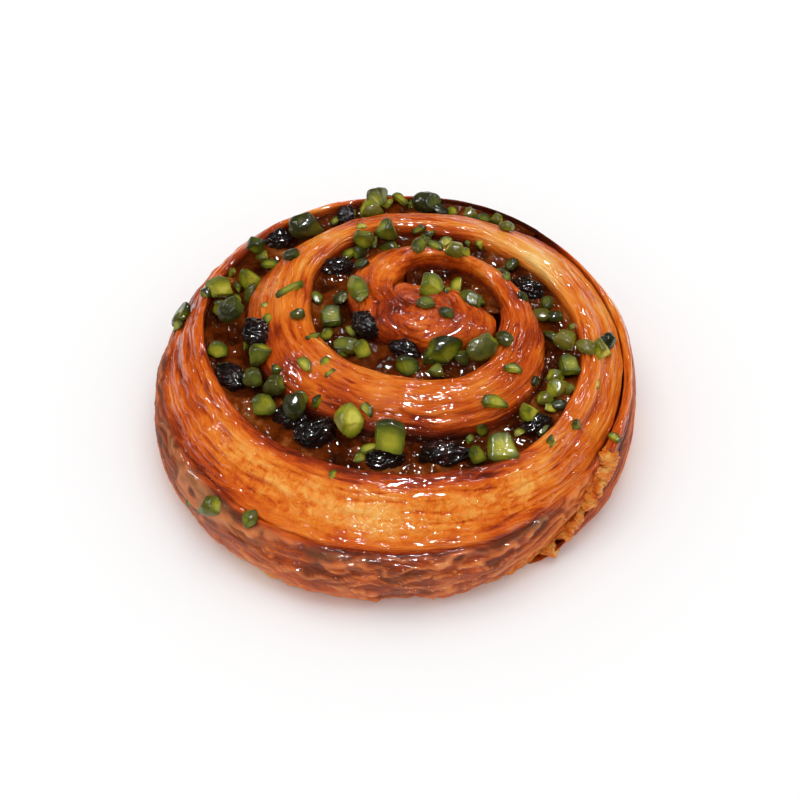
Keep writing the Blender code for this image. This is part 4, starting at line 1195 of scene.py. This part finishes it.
def onto_node(points, node, normal, sink):
    """The points moved so that their box has the middle of a CAD node's box, then sunk a little."""
    low, high = (np.array(corner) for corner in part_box(node))
    middle = (points.min(axis=0) + points.max(axis=0)) / 2
    return points + (low + high) / 2 - middle - np.array(normal) * sink


def make_raisins(look):
    fine = ball(5)
    for number, (px, py, length, width, height, heading) in enumerate(RAISINS, 1):
        node = f"raisin_{number:02d}"
        place, normal = seen_place(px, py, 0)
        points, faces = raisin(length * MM, width * MM, height * MM, number, fine)
        points = onto_node(placed(points, standing(place, normal, heading)), node, normal, 0)
        show(new_mesh(node + "_wrinkled", points, faces.tolist(), look), "raisin", node)


def make_pistachios(look):
    fine = ball(5)
    for number, (px, py, length, width, height, heading, cut) in enumerate(PISTACHIOS, 1):
        node = f"pistachio_{number:02d}"
        place, normal = seen_place(px, py, 0)
        points, faces, looks = kernel(length * MM, width * MM, height * MM, cut, number, fine)
        points = onto_node(placed(points, standing(place, normal, heading)), node, normal, SETTLE)
        looks["tone"] = random.Random(number).random() + 0 * looks["cut"]
        show(new_mesh(node + "_piece", points, faces.tolist(), look, looks), "pistachio", node)


def make_bits(look):
    """The bits that are fused to the CAD solids, and the smaller crumbs, as one mesh."""
    coarse = ball(4)
    points, faces, looks, count = [], [], {"cut": [], "heart": [], "tone": []}, 0
    for number, (px, py, length, heading, cut) in enumerate(BITS + CRUMBS, 1):
        length *= MM
        height = BIT_HEIGHT * length
        matrix = standing(*seen_place(px, py, height / 2 - BIT_SINK), heading)
        bit, triangles, shades = kernel(length, BIT_WIDTH * length, height, cut, number, coarse)
        draw = random.Random(100 + number)
        shades["tone"] = 0.8 * draw.random() + 0 * shades["cut"]
        if number > len(BITS):
            for tilt, axis in CRUMB_TILT:
                matrix = matrix @ Matrix.Rotation(draw.uniform(-tilt, tilt), 4, axis)
            bit = bit * CRUMB_SIZE
        points.append(placed(bit, matrix))
        faces += (triangles + count).tolist()
        for key, values in shades.items():
            looks[key].append(values)
        count += len(bit)
    looks = {key: np.concatenate(values) for key, values in looks.items()}
    show(new_mesh("pistachio_bits", np.concatenate(points), faces, look, looks), "pistachio")


def show(thing, slot, *nodes):
    """The piece rides with the bun and stands for the CAD nodes, which it hides. slot is not used."""
    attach(thing, "root")
    if nodes:
        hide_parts(*nodes)


# Studio


def studio():
    """A white floor, a white sky, a large soft light overhead, and the camera of the photograph."""
    scene = bpy.context.scene
    white = Nodes("floor_white")
    white.shader.inputs["Base Color"].default_value = (0.9, 0.9, 0.9, 1)
    white.shader.inputs["Roughness"].default_value = 0.9
    corners = np.array([(-1, -1, 0), (1, -1, 0), (1, 1, 0), (-1, 1, 0)]) * FLOOR_HALF
    new_mesh("floor", corners, [(0, 1, 2, 3)], white.material)

    world = bpy.data.worlds.new("sky")
    world.use_nodes = True
    world.node_tree.nodes["Background"].inputs["Color"].default_value = (1, 1, 1, 1)
    world.node_tree.nodes["Background"].inputs["Strength"].default_value = SKY_STRENGTH
    world.cycles_visibility.glossy = False
    scene.world = world
    for name, place, size, power, mirrored in LIGHTS:
        light = bpy.data.lights.new(name, "AREA")
        light.shape = "SQUARE"
        light.size = size
        light.energy = power
        lamp = bpy.data.objects.new(name, light)
        lamp.location = place
        lamp.rotation_euler = (Vector((0, 0, 0)) - Vector(place)).to_track_quat("-Z", "Y").to_euler()
        lamp.visible_glossy = mirrored
        lamp.visible_diffuse = not mirrored
        scene.collection.objects.link(lamp)

    camera = bpy.data.cameras.new("camera")
    camera.sensor_width = SENSOR
    camera.lens = PIXELS_PER_METRE * VIEW_DISTANCE / IMAGE_SIZE * SENSOR
    camera.shift_x = (IMAGE_SIZE / 2 - AIM_PIXEL[0]) / IMAGE_SIZE
    camera.shift_y = (AIM_PIXEL[1] - IMAGE_SIZE / 2) / IMAGE_SIZE
    eye = bpy.data.objects.new("camera", camera)
    eye.location = EYE
    eye.rotation_euler = (math.pi / 2 - VIEW_ELEVATION, 0, 0)
    scene.collection.objects.link(eye)
    scene.camera = eye
    scene.view_settings.view_transform = "Standard"


dough_look = dough_material()
show(dough_skin(dough_look), "crust", "dough")
show(end_crumbs(dough_look), "crust")
custard_look = custard_material()
for custard_name, custard_run in CUSTARD_RUNS.items():
    show(custard_skin(custard_name, custard_run, custard_look), "custard", custard_name)
make_raisins(raisin_material())
pistachio_look = pistachio_material()
make_pistachios(pistachio_look)
make_bits(pistachio_look)
studio()

bpy.context.view_layer.update()
